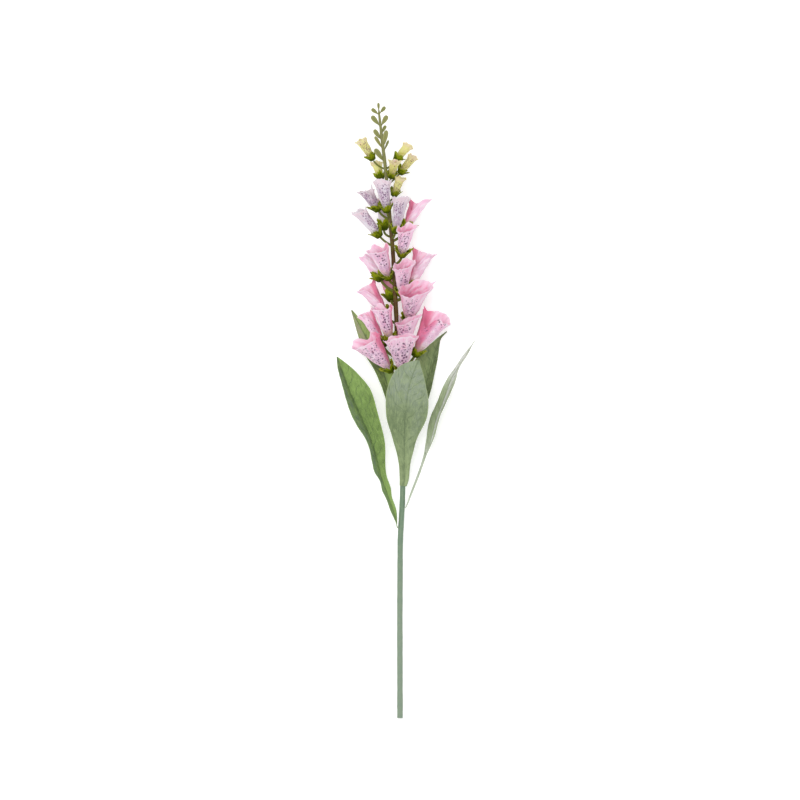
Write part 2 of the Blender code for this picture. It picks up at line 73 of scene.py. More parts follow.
# Buds: column and row of the round end, depth, width and thickness in millimetres, and the row where the
# stalk starts.
BUDS = [
    (378.5, 104.6, 0, 5.6, 4.5, 112), (373.6, 110.4, 1, 8.0, 4.8, 115),
    (383.6, 108.6, 1, 7.6, 4.8, 114), (373.6, 118.4, 2, 9.8, 5.2, 127),
    (385.6, 118.4, 2, 9.8, 5.2, 127), (384.8, 127.2, -5, 7.0, 4.5, 134),
    (375.8, 132.0, -1, 9.2, 5.0, 141), (386.0, 133.6, 4, 10.0, 5.5, 149),
    (376.0, 138.5, 4, 7.0, 4.5, 150), (388.0, 141.5, -4, 4.8, 4.5, 152),
    (376.8, 151.8, 6, 10.6, 5.5, 163),
]

# Where a bud's blade starts between the stem and its end, and how narrow the blade is there.
BUD_STALK = 0.22
BUD_TAPER = 0.45
BUD_RINGS = 26
BUD_SIDES = 36

# Flowers from the bottom up: age, base (column, row, depth), mouth (column, row, depth), half width of
# the mouth, length of the left and the right horn as seen from outside, depth of the slit on the stem's
# side as a share of the length, the turn about the flower's own axis in degrees, and how far the mouth's
# right side, its front lip and its two back lobes stand above its middle, in millimetres.
FLOWERS = [
    ("pink", (391.5, 371.0, 7), (366.5, 341.5, 32), 21, (2, 4), 0.10, 50, (-4, 2, 8)),
    ("pink", (402.0, 373.5, 14), (400.8, 339.5, 45.5), 22.5, (3, 1), 0.0, -8, (3, 14.5, 0)),
    ("pink", (414.5, 356.0, 2), (435.3, 318.0, 13), 23.5, (1, 7), 0.30, 62, (-1, 10.5, 8)),
    ("pink", (404.0, 351.5, 3.5), (407.3, 320.5, 28.2), 19.5, (2, 4), 0.10, 0, (3, 8, -2)),
    ("pink", (384.0, 347.0, -5), (366.0, 313.5, -5), 13, (8, 0), 0.40, -35, (0, 3, 0)),
    ("pink", (402.0, 346.0, -10), (409.0, 316.0, -30), 16, (5, 5), 0.20, 0, (0, 0, 0)),
    ("pink", (390.5, 342.0, 9), (382.0, 308.5, 27), 16, (3, 2), 0.10, 0, (0, 2, 6)),
    ("pink", (407.2, 322.3, -8.5), (415.6, 289.5, 38.8), 26.6, (2, 8), 0.05, -26, (1, 10, 1)),
    ("pink", (387.0, 316.0, -5), (366.5, 286.5, -8), 15, (13, 0), 0.42, -45, (0, 3, 0)),
    ("pink", (391.2, 300.0, -9.5), (386.4, 274.0, -37), 14, (1, 1), 0.20, 0, (0, 0, 0)),
    ("pink", (401.4, 295.6, 2.0), (403.8, 265.5, 32.5), 17, (2, 2), 0.05, 0, (1, 4, 3)),
    ("pink", (410.0, 289.0, -4), (424.0, 251.5, -10), 17, (5, 3), 0.35, 55, (0, 1, 0)),
    ("pink", (381.0, 280.0, -9), (368.0, 256.5, -24), 14, (14, 3), 0.20, -15, (0, 2, 3)),
    ("pink", (389.0, 279.0, 7), (378.0, 250.5, 33), 17, (4, 2), 0.10, 5, (2, 3, 7)),
    ("pink", (401.5, 256.5, 11), (406.5, 229.5, 35), 15, (1, 5), 0.05, 0, (2, 4, 5)),
    ("pale", (384.0, 229.0, -11.5), (384.0, 200.0, -29), 14, (5, 5), 0.20, 0, (0, 0, 0)),
    ("pink", (405.0, 230.0, -4), (419.5, 199.5, -12), 14, (4, 2), 0.35, 50, (-6, -2, 0)),
    ("pale", (380.0, 236.5, 3), (359.5, 211.5, 9), 13, (4, 3), 0.15, 20, (-2, 4, 4)),
    ("pale", (395.0, 233.0, 9), (401.2, 199.0, 22), 13.5, (1, 2), 0.10, 0, (-2, 7, 0)),
    ("pale", (387.0, 212.0, 10.5), (382.0, 182.5, 23), 12.5, (1, 1), 0.05, 0, (0, 8, 0)),
    ("pale", (378.5, 210.5, -5), (366.0, 190.5, 1), 12.5, (9, 0), 0.30, -35, (5, 2, 0)),
    ("young", (393.8, 196.0, 6), (400.5, 178.0, 14), 8, (1, 1), 0.05, 0, (0, 0, 0)),
    ("young", (381.0, 179.0, -5), (376.5, 163.0, -16), 8.5, (1, 1), 0.05, 0, (0, 0, 0)),
    ("young", (391.0, 178.0, 6.5), (395.0, 161.5, 16.5), 8.5, (1, 1), 0.05, 0, (0, 0, 0)),
    ("young", (399.8, 173.5, 0), (413.3, 156.5, 6), 8, (1, 1), 0.05, 0, (0, 0, 0)),
    ("young", (373.0, 159.6, -5), (360.8, 139.8, -2), 9.5, (2, 1), 0.05, 0, (0, 0, 0)),
    ("young", (395.5, 160.5, -3), (408.5, 145.0, -8), 8.5, (1, 1), 0.05, 0, (0, 0, 0)),
]


def mirrored(lobes):
    """Places round a mouth, with those on its other side, which are the same."""
    return lobes + [(360 - degrees, *shares) for degrees, *shares in lobes[-2:0:-1]]


# Places round a flower's mouth: degrees from the front, rise of the rim in millimetres at full size, and
# shares of the horn, of the front lip and of the back lobes.
FULL_LOBES = mirrored([
    (0, 0.0, 0, 1.0, 0), (25, 0.0, 0, 0.85, 0), (48, 0.0, 0, 0.35, 0),
    (68, 1.0, 0.1, 0.05, 0), (78, 2.2, 1.0, 0, 0), (88, 0.5, 0.1, 0, 0),
    (113, -1.5, 0, 0, 0.35), (146, 0.0, 0, 0, 1.0), (180, -3.0, 0, 0, 0.5),
])
YOUNG_LOBES = mirrored([
    (0, 1.5, 0, 1, 0), (36, 0.2, 0, 0.5, 0), (72, 1.2, 1.0, 0, 0),
    (108, -0.8, 0, 0, 0.5), (144, 0.4, 0, 0, 1), (180, -1.0, 0, 0, 0.5),
])
# The horns' half widths are in degrees round the mouth, the stalks' radii in millimetres.
AGES = {
    "pink": {"scale": 1.0, "flatness": 0.66, "lobes": FULL_LOBES, "horns": 11, "stalk": 2.0},
    "pale": {"scale": 0.95, "flatness": 0.7, "lobes": FULL_LOBES, "horns": 11, "stalk": 1.7},
    "young": {"scale": 0.8, "flatness": 0.85, "lobes": YOUNG_LOBES, "horns": 30, "stalk": 1.3},
}

# Where a flower has dark spots: how many, the middle and the half width of their field in degrees from
# the side that the viewer sees, and the shares of the length between which they lie.
MARKS = {
    1: (1.00, -18, 44, 0.32, 0.92), 2: (1.00, 0, 50, 0.18, 0.92), 3: (0.50, 10, 40, 0.78, 1.05),
    4: (1.00, 0, 42, 0.35, 0.96), 5: (0.50, -8, 26, 0.45, 0.85), 7: (1.00, 0, 36, 0.34, 0.98),
    8: (1.00, 8, 26, 0.12, 0.88), 11: (1.00, 22, 34, 0.38, 0.88), 14: (0.80, -8, 30, 0.50, 0.95),
    15: (1.00, 0, 46, 0.14, 0.92), 18: (1.00, 25, 42, 0.18, 0.92), 19: (1.00, 0, 38, 0.40, 0.86),
    20: (1.00, 0, 46, 0.30, 0.88), 21: (1.00, 10, 60, 0.30, 0.98), 22: (0.60, 0, 70, 0.20, 0.90),
    24: (0.60, 45, 32, 0.25, 0.85), 25: (0.80, 0, 50, 0.20, 0.90), 26: (1.00, 0, 50, 0.25, 0.85),
}
NO_MARKS = (0.0, 0, 40, 0.3, 0.8)

# Flowers with a darker strip down one side, partly the inside's deep pink seen at the slit and partly
# painted shade: the side in the picture, -1 left or 1 right, the strip's half width in degrees round the
# flower, and its strength.
STRIPS = {
    1: (1, 60, 0.95), 2: (1, 40, 0.3), 3: (-1, 100, 1.0), 4: (-1, 50, 0.4), 5: (1, 78, 1.0),
    7: (1, 58, 0.85), 8: (-1, 54, 0.5), 9: (1, 84, 0.95), 10: (0, 180, 0.7), 12: (-1, 72, 0.95),
    13: (1, 60, 0.7), 14: (1, 52, 0.5), 17: (-1, 84, 1.0), 18: (1, 50, 0.3), 21: (1, 60, 0.5),
    22: (-1, 50, 0.4), 24: (-1, 50, 0.4),
}
# Flowers whose foot is the colour of cream and how strongly, and the shares of the length where it ends.
CREAM = {3: 0.3, 4: 0.3, 7: 1.0, 8: 0.7, 14: 0.3, 15: 0.4}
CREAM_ENDS = (0.24, 0.46)
BASE_RADIUS = 4.9
LIP_FLARE = 2.4
FOLD = 0.55 * MM
BELL_COLUMNS = 120
# Rings of a bell: shares of its length, close together in the round foot and at the rim.
BELL_RINGS = ((0, 0.12, 6), (0.16, 0.84, 11), (0.865, 1, 9))
DOME = 0.15
# Waves round a bell: how many and their size at the rim, and how many and the turn of the folds.
RIM_WAVES = ((3, 0.35), (5, 0.5), (7, 0.45), (11, 0.35), (17, 0.22))
FOLD_WAVES = ((4, 0.8), (7, -1.3), (9, 1.7), (12, -2.6), (5, 3.1))

CALYX_FOOT = (2.2, -1.4)
CALYX_CUP = (6.5, 1.0)
CALYX_NOTCH = (8.8, 7.8)
CALYX_TIP = (13.6, 15.0)
CALYX_CUP_SHARE = 0.28
CLOTH_OF_CALYX = (0.08, 0.16)
SEPALS = 5
# How far the sepals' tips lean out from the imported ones, in millimetres, and where there is no room.
SEPAL_LEAN = 0.7
SNUG = {11: -1.6, 8: 0.0}
CALYX_COLUMNS = 100
CALYX_RINGS = 14

# Leaves: side of the stem, row and half width of the base, slot, then rows along the midrib: column,
# row, depth, the way the upper side faces (degrees from the viewer toward the right), fold, and half
# widths in millimetres.
LEAVES = {
    "leaf_left": (-80, 528, 2.5, "leaf_green", [
        (393.3, 511.0, 3, 42, 18, 6.5, 4.8), (389.0, 499.0, 5, 34, 22, 7.0, 5.4),
        (385.9, 490.0, 6, 31, 25, 9.0, 8.0), (382.3, 480.0, 8, 32, 26, 7.0, 8.0),
        (379.8, 471.0, 9, 34, 28, 17.0, 9.8), (377.4, 461.0, 10, 35, 30, 17.0, 12.0),
        (371.5, 441.0, 14, 36, 34, 19.0, 20.6), (362.0, 418.0, 17, 34, 34, 28.0, 25.8),
        (351.8, 396.0, 20, 34, 34, 23.0, 29.5), (343.8, 375.0, 22, 36, 32, 17.0, 19.0),
        (337.2, 357.0, 24, 38, 20, 0.8, 0.8),
    ]),
    "leaf_front": (8, 486, 5.5, "leaf_sage", [
        (404.3, 478.0, 6.8, 180, 12, 7.4, 7.4), (404.3, 465.0, 9, 180, 14, 9.4, 8.6),
        (404.2, 452.0, 14, 180, 14, 14.4, 12.4), (404.3, 437.0, 22, 178, 12, 21.0, 20.0),
        (405.2, 417.0, 38, 176, 10, 33.0, 30.5), (407.6, 394.0, 57, 175, 10, 31.5, 33.0),
        (412.6, 375.0, 76, 175, 10, 18.0, 25.0), (418.6, 360.5, 92, 175, 5, 0.8, 0.8),
    ]),
    "leaf_right": (80, 508, 2.0, "leaf_sage", [
        (409.8, 499.0, 3, -86, 14, 4.5, 5.0), (417.2, 480.0, 4, -79, 12, 5.0, 6.5),
        (424.6, 460.0, 5, -75, 10, 9.0, 9.0), (431.0, 440.0, 6, -71, 8, 13.0, 12.0),
        (436.2, 420.0, 7, -69, 8, 19.5, 14.5), (443.6, 400.0, 9, -66, 8, 14.5, 19.0),
        (450.3, 381.0, 10, -62, 8, 8.0, 16.0), (456.6, 370.0, 10.5, -66, 8, 7.5, 9.5),
        (462.3, 361.0, 11, -76, 8, 7.0, 7.0), (469.7, 349.5, 12.5, -78, 8, 5.0, 5.0),
        (474.8, 340.5, 14, -80, 5, 0.8, 0.8),
    ]),
    "leaf_back_right": (135, 459, 2.0, "leaf_green", [
        (409.0, 440.0, -9, -35, 22, 5.0, 5.0), (415.5, 418.0, -17, -22, 22, 13.0, 11.0),
        (422.5, 396.0, -28, -14, 20, 24.0, 12.5), (428.6, 375.0, -38, -10, 16, 28.0, 9.5),
        (432.6, 358.0, -47, -6, 10, 22.0, 8.6), (437.0, 346.0, -51, 0, 3, 10.0, 4.0),
        (440.6, 338.0, -53, 0, 0, 3.0, 1.6), (447.0, 331.5, -54, 0, 0, 0.8, 0.8),
    ]),
    "leaf_back_left": (225, 449, 2.0, "leaf_green", [
        (396.3, 431.0, -10, 38, 22, 5.0, 5.0), (393.0, 411.0, -17, 28, 22, 9.0, 9.0),
        (388.5, 391.0, -26, 20, 22, 11.5, 13.0), (382.5, 370.0, -36, 12, 18, 13.0, 16.0),
        (373.0, 350.0, -45, 6, 12, 15.0, 17.0), (361.5, 329.0, -54, 2, 4, 8.5, 9.0),
        (351.3, 310.0, -57, 0, 0, 0.8, 0.8),
    ]),
}
CAD_LEAF_ROWS = 22
LEAF_ROWS = 150
LEAF_COLUMNS = 45
EDGE_WAVE = 1.3 * MM
EDGE_WAVES_ALONG = 4.5
VEIN_SPACING = 19.0 * MM
VEIN_RISE = 1.3
QUILT = 0.30 * MM
MIDRIB_DEPTH = 0.5 * MM
MIDRIB_WIDTH = 1.3 * MM

# The bells' cloth: the shares of the length between which the foot's colour ends, the cells and the
# largest radius of the spots in millimetres, how many cells hold a speck, and colours from 0 to 255.
# The light colour also paints highlights on the creases' ridges; the inside colour and the strip colour
# also paint shade in their hollows.
PETALS = {
    "pink": ((0.06, 0.42), (4.4, 1.75), 0.45, {
        "foot": (206, 178, 152), "body": (229, 188, 210), "rim": (233, 184, 211),
        "light": (243, 224, 235), "strip_and_shade": (222, 108, 146), "inside": (236, 144, 180),
        "inside_rim": (240, 190, 214), "spot": (96, 58, 92), "haze": (190, 150, 184),
    }),
    "pale": ((0.06, 0.42), (2.8, 1.25), 0.85, {
        "foot": (204, 198, 176), "body": (206, 193, 203), "rim": (223, 196, 207),
        "light": (222, 216, 223), "strip_and_shade": (190, 160, 170), "inside": (210, 176, 192),
        "inside_rim": (221, 205, 213), "spot": (118, 82, 118), "haze": (170, 140, 170),
    }),
    "young": ((0.10, 0.80), (3.0, 1.1), 0.7, {
        "foot": (164, 156, 44), "body": (209, 204, 114), "rim": (222, 200, 180),
        "light": (226, 224, 152), "strip_and_shade": (190, 174, 84), "inside": (206, 178, 150),
        "inside_rim": (224, 198, 190), "spot": (120, 84, 92), "haze": (188, 180, 124),
    }),
}
CREAM_COLOUR = (208, 176, 142)
# The cells and the largest radius of fine specks in millimetres, and how far noise moves all marks.
SPECKS = (2.4, 0.75)
DOT_SHAKE = 0.009

# The light and dark colours serve the leaves' own tone and also their painted light and shade.
LEAF_COLOURS = ("main", "light", "dark", "grey", "foot")
LEAF_LOOKS = {
    "leaf_left": ((104, 131, 64), (138, 169, 88), (66, 89, 50), (100, 119, 98), (124, 150, 84)),
    "leaf_front": ((98, 117, 70), (152, 170, 116), (74, 94, 50), (138, 150, 132), (128, 145, 94)),
    # The right leaf's near-white grey is painted sheen, laid in its fields and lightly over its under
    # side.
    "leaf_right": ((158, 175, 132), (186, 199, 168), (104, 120, 88), (226, 230, 227), (166, 177, 150)),
    "leaf_back_right": ((108, 127, 82), (144, 163, 110), (76, 92, 58), (132, 145, 120), (104, 123, 76)),
    "leaf_back_left": ((122, 140, 86), (152, 180, 98), (72, 88, 52), (150, 148, 122), (132, 156, 86)),
}
FIELD_KINDS = ("grey", "light", "dark")
# Soft fields of colour on each leaf, partly its own tone and partly painted light and shade: lighter and
# darker halves where a leaf is folded on its midrib, painted shade beside midribs, a painted highlight
# along the front leaf's right edge and painted sheen in the near-white fields of the right leaf. Each
# gives the kind, middle and half height in picture rows, middle and half width as shares from the midrib
# to an edge, and strength.
LEAF_FIELDS = {
    "leaf_left": [
        ("grey", 420, 120, -0.7, 0.45, 0.85), ("dark", 410, 80, -0.12, 0.13, 0.75),
        ("dark", 409, 9, 0.34, 0.05, 0.7), ("light", 375, 26, 0.5, 0.5, 0.45),
        ("light", 495, 24, 0.3, 0.6, 0.5),
    ],
    "leaf_front": [
        ("grey", 378, 30, 0.0, 2.0, 0.85), ("grey", 415, 40, -0.6, 0.3, 0.4),
        ("dark", 430, 28, 0.0, 0.12, 0.5), ("light", 448, 14, 0.0, 0.9, 0.45),
        ("light", 474, 24, -0.5, 0.3, 0.8), ("dark", 468, 30, 0.25, 0.2, 0.5),
        ("grey", 380, 22, 0.98, 0.06, 1.0),
    ],
    "leaf_right": [
        ("grey", 404, 54, 0.38, 0.32, 1.0), ("dark", 405, 50, 0.99, 0.10, 0.5),
        ("grey", 354, 30, 0.0, 2.0, 0.95), ("grey", 470, 30, 0.0, 2.0, 0.5),
        ("dark", 380, 60, 0.02, 0.06, 0.4),
    ],
    "leaf_back_right": [
        ("light", 365, 36, -0.6, 0.6, 0.6), ("dark", 380, 60, 0.65, 0.5, 0.75),
        ("light", 358, 34, 0.0, 0.05, 0.8),
    ],
    "leaf_back_left": [
        ("grey", 330, 30, -0.5, 0.45, 1.0), ("light", 340, 26, 0.5, 0.5, 0.8),
        ("dark", 380, 34, -0.5, 0.5, 0.8), ("light", 385, 30, 0.5, 0.4, 0.95),
        ("dark", 385, 50, 0.0, 0.07, 0.8),
    ],
}

FLOOR_WHITE = (0.95, 0.95, 0.95, 1.0)
FLOOR_HALF = 4.0
FLOOR_GAP = 0.3 * MM
KEY_LIGHT = (-0.45, 0.15, 3.4)
KEY_AIM = (0.0, 0.0, 0.05)


def linear(*levels):
    """A picture colour, red, green and blue from 0 to 255, as the linear colour that a shader takes."""
    shares = [level / 255 for level in levels]
    return (*[s / 12.92 if s <= 0.04045 else ((s + 0.055) / 1.055) ** 2.4 for s in shares], 1.0)


# Where the plant lies


def place(column, row, depth):
    """A point of the upright plant from its picture point and its depth in millimetres."""
    return Vector(((column - MIDDLE_COLUMN) * POINT, (CUT_ROW - row) * POINT, depth * MM))


def plant_matrix():
    """Turns the upright plant to the lying one, whose cut end is the stem's lowest end in Y."""
    points = np.array([v.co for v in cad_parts["stem"].data.vertices])
    end = points[points[:, 1] < points[:, 1].min() + 2 * MM]
    centre = (end.min(0) + end.max(0)) / 2
    return Matrix.Translation(centre) @ Matrix.Rotation(LIE_ANGLE, 4, "X")


PLANT = plant_matrix()


def stem_at(rows):
    """The stem's columns, and its radii in millimetres, at rows of the picture."""
    columns, known, radii = np.array(STEM_LINE)[::-1].T
    return np.interp(rows, known, columns), np.interp(rows, known, radii)


def stem_point(row):
    return place(stem_at(row)[0], row, 0)


def smooth(share):
    share = np.clip(share, 0.0, 1.0)
    return share * share * (3 - 2 * share)


def unit(vectors):
    """The given vectors, each with length one."""
    return vectors / np.maximum(np.linalg.norm(vectors, axis=-1, keepdims=True), 1e-12)


def curve_through(rows, count):
    """Rows of numbers read evenly along a Catmull-Rom curve through the given rows."""
    rows = np.array([rows[0], *rows, rows[-1]])
    along = np.linspace(0, len(rows) - 3, count)
    part = np.minimum(along.astype(int), len(rows) - 4)
    t = (along - part)[:, None]
    a, b, c, d = (rows[part + step] for step in range(4))
    return b + 0.5 * t * (c - a + t * (2 * a - 5 * b + 4 * c - d + t * (3 * b - a - 3 * c + d)))


# Meshes


def grid_normals(points, closed):
    """Unit normals of a grid of points, columns crossed with rows."""
    up = np.gradient(points, axis=0)
    if closed:
        across = (np.roll(points, -1, axis=1) - np.roll(points, 1, axis=1)) / 2
    else:
        across = np.gradient(points, axis=1)
    return unit(np.cross(across, up))


def put_out(name, data):
    """A new object in the scene."""
    made = bpy.data.objects.new(name, data)
    bpy.context.scene.collection.objects.link(made)
    return made


def new_piece(name, points, faces, values, materials, slot, replaced):
    """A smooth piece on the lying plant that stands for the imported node."""
    mesh = bpy.data.meshes.new(name)
    mesh.from_pydata(points.tolist(), [], faces.tolist())
    for key, numbers in values.items():
        layer = mesh.attributes.new(key, "FLOAT", "POINT")
        layer.data.foreach_set("value", np.ascontiguousarray(numbers, dtype=np.float32).ravel())
    for made in materials:
        mesh.materials.append(made)
    mesh.transform(PLANT)
    mesh.shade_smooth()
    mesh.set_sharp_from_angle(angle=math.radians(60))
    piece = put_out(name, mesh)
    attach(piece, "root")
    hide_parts(replaced)
    return piece


def quads(*corners):
    """Faces from the arrays of their four corners."""
    return np.stack(corners, axis=-1).reshape(-1, 4)


def thin_sheet(name, face, thickness, closed, values, cloth, materials, slot, replaced):
    """A sheet with two faces and a rim, from a grid of points on the face that the normals leave."""
    shape = face.shape[:2]
    points = np.concatenate([face, face - thickness * grid_normals(face, closed)]).reshape(-1, 3)
    upper = np.arange(shape[0] * shape[1]).reshape(shape)
    under = upper + upper.size
    across = np.arange(shape[1] if closed else shape[1] - 1)
    after = (across + 1) % shape[1]
    front = quads(upper[:-1, across], upper[:-1, after], upper[1:, after], upper[1:, across])
    rims = [
        quads(upper[-1, across], upper[-1, after], under[-1, after], under[-1, across]),
        quads(upper[0, after], upper[0, across], under[0, across], under[0, after]),
    ]
    if not closed:
        rims.append(quads(upper[:-1, 0], upper[1:, 0], under[1:, 0], under[:-1, 0]))
        rims.append(quads(upper[1:, -1], upper[:-1, -1], under[:-1, -1], under[1:, -1]))
    faces = np.concatenate([front, front[:, ::-1] + upper.size, *rims])
    both = {key: np.tile(np.broadcast_to(found, shape).ravel(), 2) for key, found in values.items()}
    piece = new_piece(name, points, faces, both, materials, slot, replaced)
    which = np.zeros(len(faces), dtype=np.int32)
    which[len(front):2 * len(front)] = 1
    piece.data.polygons.foreach_set("material_index", which)

    corners = [cloth[:-1, across], cloth[:-1, across + 1], cloth[1:, across + 1], cloth[1:, across]]
    corners = np.stack(corners, axis=2).reshape(-1, 4, 2)
    laid = np.zeros((len(faces), 4, 2), dtype=np.float32)
    laid[:2 * len(front)] = np.concatenate([corners, corners[:, ::-1]])
    piece.data.uv_layers.new(name="cloth").uv.foreach_set("vector", laid.ravel())


def joined_grids(grids):
    """Points, faces and values of several closed grids whose first and last rings are small caps."""
    points, faces, values, first = [], [], {}, 0
    for grid, numbers in grids:
        shape = grid.shape[:2]
        index = np.arange(shape[0] * shape[1]).reshape(shape) + first
        after = np.roll(index, -1, axis=1)
        faces.append(quads(index[:-1], after[:-1], after[1:], index[1:]))
        points.append(grid.reshape(-1, 3))
        for key, found in numbers.items():
            values.setdefault(key, []).append(np.broadcast_to(found, shape).ravel())
        first += index.size
    values = {key: np.concatenate(found) for key, found in values.items()}
    return np.concatenate(points), np.concatenate(faces), values


def tube_grid(points, radii, sides):
    """Rings of points round a curve, the first column nearest the viewer."""
    points = np.array(points)
    tangents = unit(np.gradient(points, axis=0))
    across = unit(np.cross(tangents, (0.0, 0.0, 1.0)))
    front = np.cross(across, tangents)
    turn = np.linspace(0, 2 * math.pi, sides, endpoint=False)[None, :, None]
    ring = np.cos(turn) * front[:, None, :] - np.sin(turn) * across[:, None, :]
    grid = points[:, None, :] + np.array(radii)[:, None, None] * ring
    first, last = points[0] + CAP_RADIUS * ring[0], points[-1] + CAP_RADIUS * ring[-1]
    return np.concatenate([first[None], grid, last[None]])


# Stem, stalks and buds


def build_stem_rod(materials):
    rows = np.linspace(CUT_ROW, STEM_LINE[-1][1], STEM_RINGS)
    columns, radii = stem_at(rows)
    columns[4:-4] = np.convolve(columns, np.ones(9) / 9, "valid")
    rng = random.Random(7)
    dents = sum(0.05 * np.sin(rows / period + rng.uniform(0, 6)) for period in (3.1, 5.3, 9.7, 1.9))
    points = [place(column, row, 0) for column, row in zip(columns, rows)]
    grid = tube_grid(points, (radii + dents - 0.05) * MM, STEM_SIDES)
    levels = np.concatenate([rows[:1], rows, rows[-1:]])[:, None]
    new_piece("stem_rod", *joined_grids([(grid, {"row": levels})]), materials, "stem", "stem")


def stalk_grid(start, bend, end, foot, top):
    """A tube along a bent line, with its radii in millimetres at its foot and from its middle on."""
    t = np.linspace(0, 1, STALK_RINGS)[:, None]
    start, bend, end = np.array(start), np.array(bend), np.array(end)
    points = (1 - t) ** 2 * start + 2 * t * (1 - t) * bend + t * t * end
    return tube_grid(points, np.interp(t[:, 0], (0, 0.5), (foot, top)) * MM, STALK_SIDES)


def build_stalks(materials):
    """The short stalks of the flowers and of the buds."""
    grids = []
    for age, base, mouth, half_width, horns, slit, turn, edge in FLOWERS:
        base = place(*base)
        axis = flower_frame(base, place(*mouth), turn) @ Vector((0, 0, 1))
        end = base - axis * (GAP - CALYX_FOOT[1] * MM)
        row = CUT_ROW - base.y / POINT
        reach = (base - stem_point(row)).length
        start = stem_point(row + max(3.0 * MM, 0.8 * reach) / POINT)
        bend = end - axis * (end - start).length * 0.45
        radius = AGES[age]["stalk"]
        grid = stalk_grid(start, bend, end, 1.15 * radius, radius)
        grids.append((grid, {"row": row, "stalk": 1.0}))
    for column, row, depth, width, thickness, stalk_row in BUDS:
        start, foot, tip, axis = bud_line(column, row, depth, width, stalk_row)
        end = foot.lerp(tip, 0.2)
        grid = stalk_grid(start, start.lerp(end, 0.5), end, 1.1, 0.9)
        grids.append((grid, {"row": row, "stalk": 0.0}))
    new_piece("stem_stalks", *joined_grids(grids), materials, "stem", "stem")


def bud_line(column, row, depth, width, stalk_row):
    """A bud's stalk foot, the foot and the end of its blade, and its direction."""
    start = stem_point(stalk_row)
    head = place(column, row, depth)
    axis = (head - start).normalized()
    tip = head + axis * width / 2 * MM
    return start, start.lerp(tip, BUD_STALK), tip, axis


def build_buds(materials):
    """Flat spoon-shaped buds with a crease along each face."""
    grids = []
    viewer = np.array((0.0, 0.0, 1.0))
    around = np.linspace(0.03, math.pi - 0.03, BUD_RINGS)[:, None]
    turn = np.linspace(0, 2 * math.pi, BUD_SIDES, endpoint=False)[None, :]
    along = (1 - np.cos(around)) / 2
    swell = np.sin(around) ** 0.9 * (BUD_TAPER + (1 - BUD_TAPER) * along)
    bulge = np.sin(math.pi * along)
    crease = 1 - 0.4 * np.exp(-(np.sin(turn) / 0.2) ** 2) * bulge
    for number, (column, row, depth, width, thickness, stalk_row) in enumerate(BUDS):
        chance = random.Random(60 + number)
        start, foot, tip, axis = bud_line(column, row, depth, width, stalk_row)
        side = unit(np.cross(viewer, axis))
        wide = swell * np.sin(turn) * width / 2 + chance.uniform(-0.3, 0.3) * bulge
        thick = swell * np.cos(turn) * thickness / 2 * crease
        height = (along - 0.5) * (tip - foot).length
        grid = np.array((foot + tip) / 2) + height[..., None] * np.array(axis)
        grid = grid + MM * (thick[..., None] * viewer - wide[..., None] * side)
        grids.append((grid, {"edge": np.abs(np.sin(turn)), "along": along, "tint": chance.random()}))
    new_piece("stem_buds", *joined_grids(grids), materials, "stem", "stem")


# Flowers


def flower_frame(base, mouth, turn_degrees):
    """Turns a flower's own axes to the plant: Z from base to mouth, X away from the stem."""
    axis = (mouth - base).normalized()
    middle = (base + mouth) / 2
    row = CUT_ROW - middle.y / POINT
    outward = middle - stem_point(row)
    side = axis.cross(outward).normalized()
    front = side.cross(axis).normalized()
    turned = Matrix((front, side, axis)).transposed()
    return turned.to_quaternion() @ Quaternion((0, 0, 1), math.radians(turn_degrees))


def round_the_mouth(degrees, places, amounts):
    """Amounts given at some places round the mouth, eased between them."""
    known = np.append(places, places[0] + 360)
    given = np.append(amounts, amounts[0])
    part = np.searchsorted(known, degrees, side="right") - 1
    share = smooth((degrees - known[part]) / (known[part + 1] - known[part]))
    return given[part] + (given[part + 1] - given[part]) * share


def drawn_place(chance):
    """Where a flower's cloth lies in the noise, so that no two look alike."""
    return np.array([chance.uniform(-20, 20), chance.uniform(-20, 20)])


def degrees_apart(signed, middle):
    return np.abs((signed - middle + 180) % 360 - 180)[None, :]


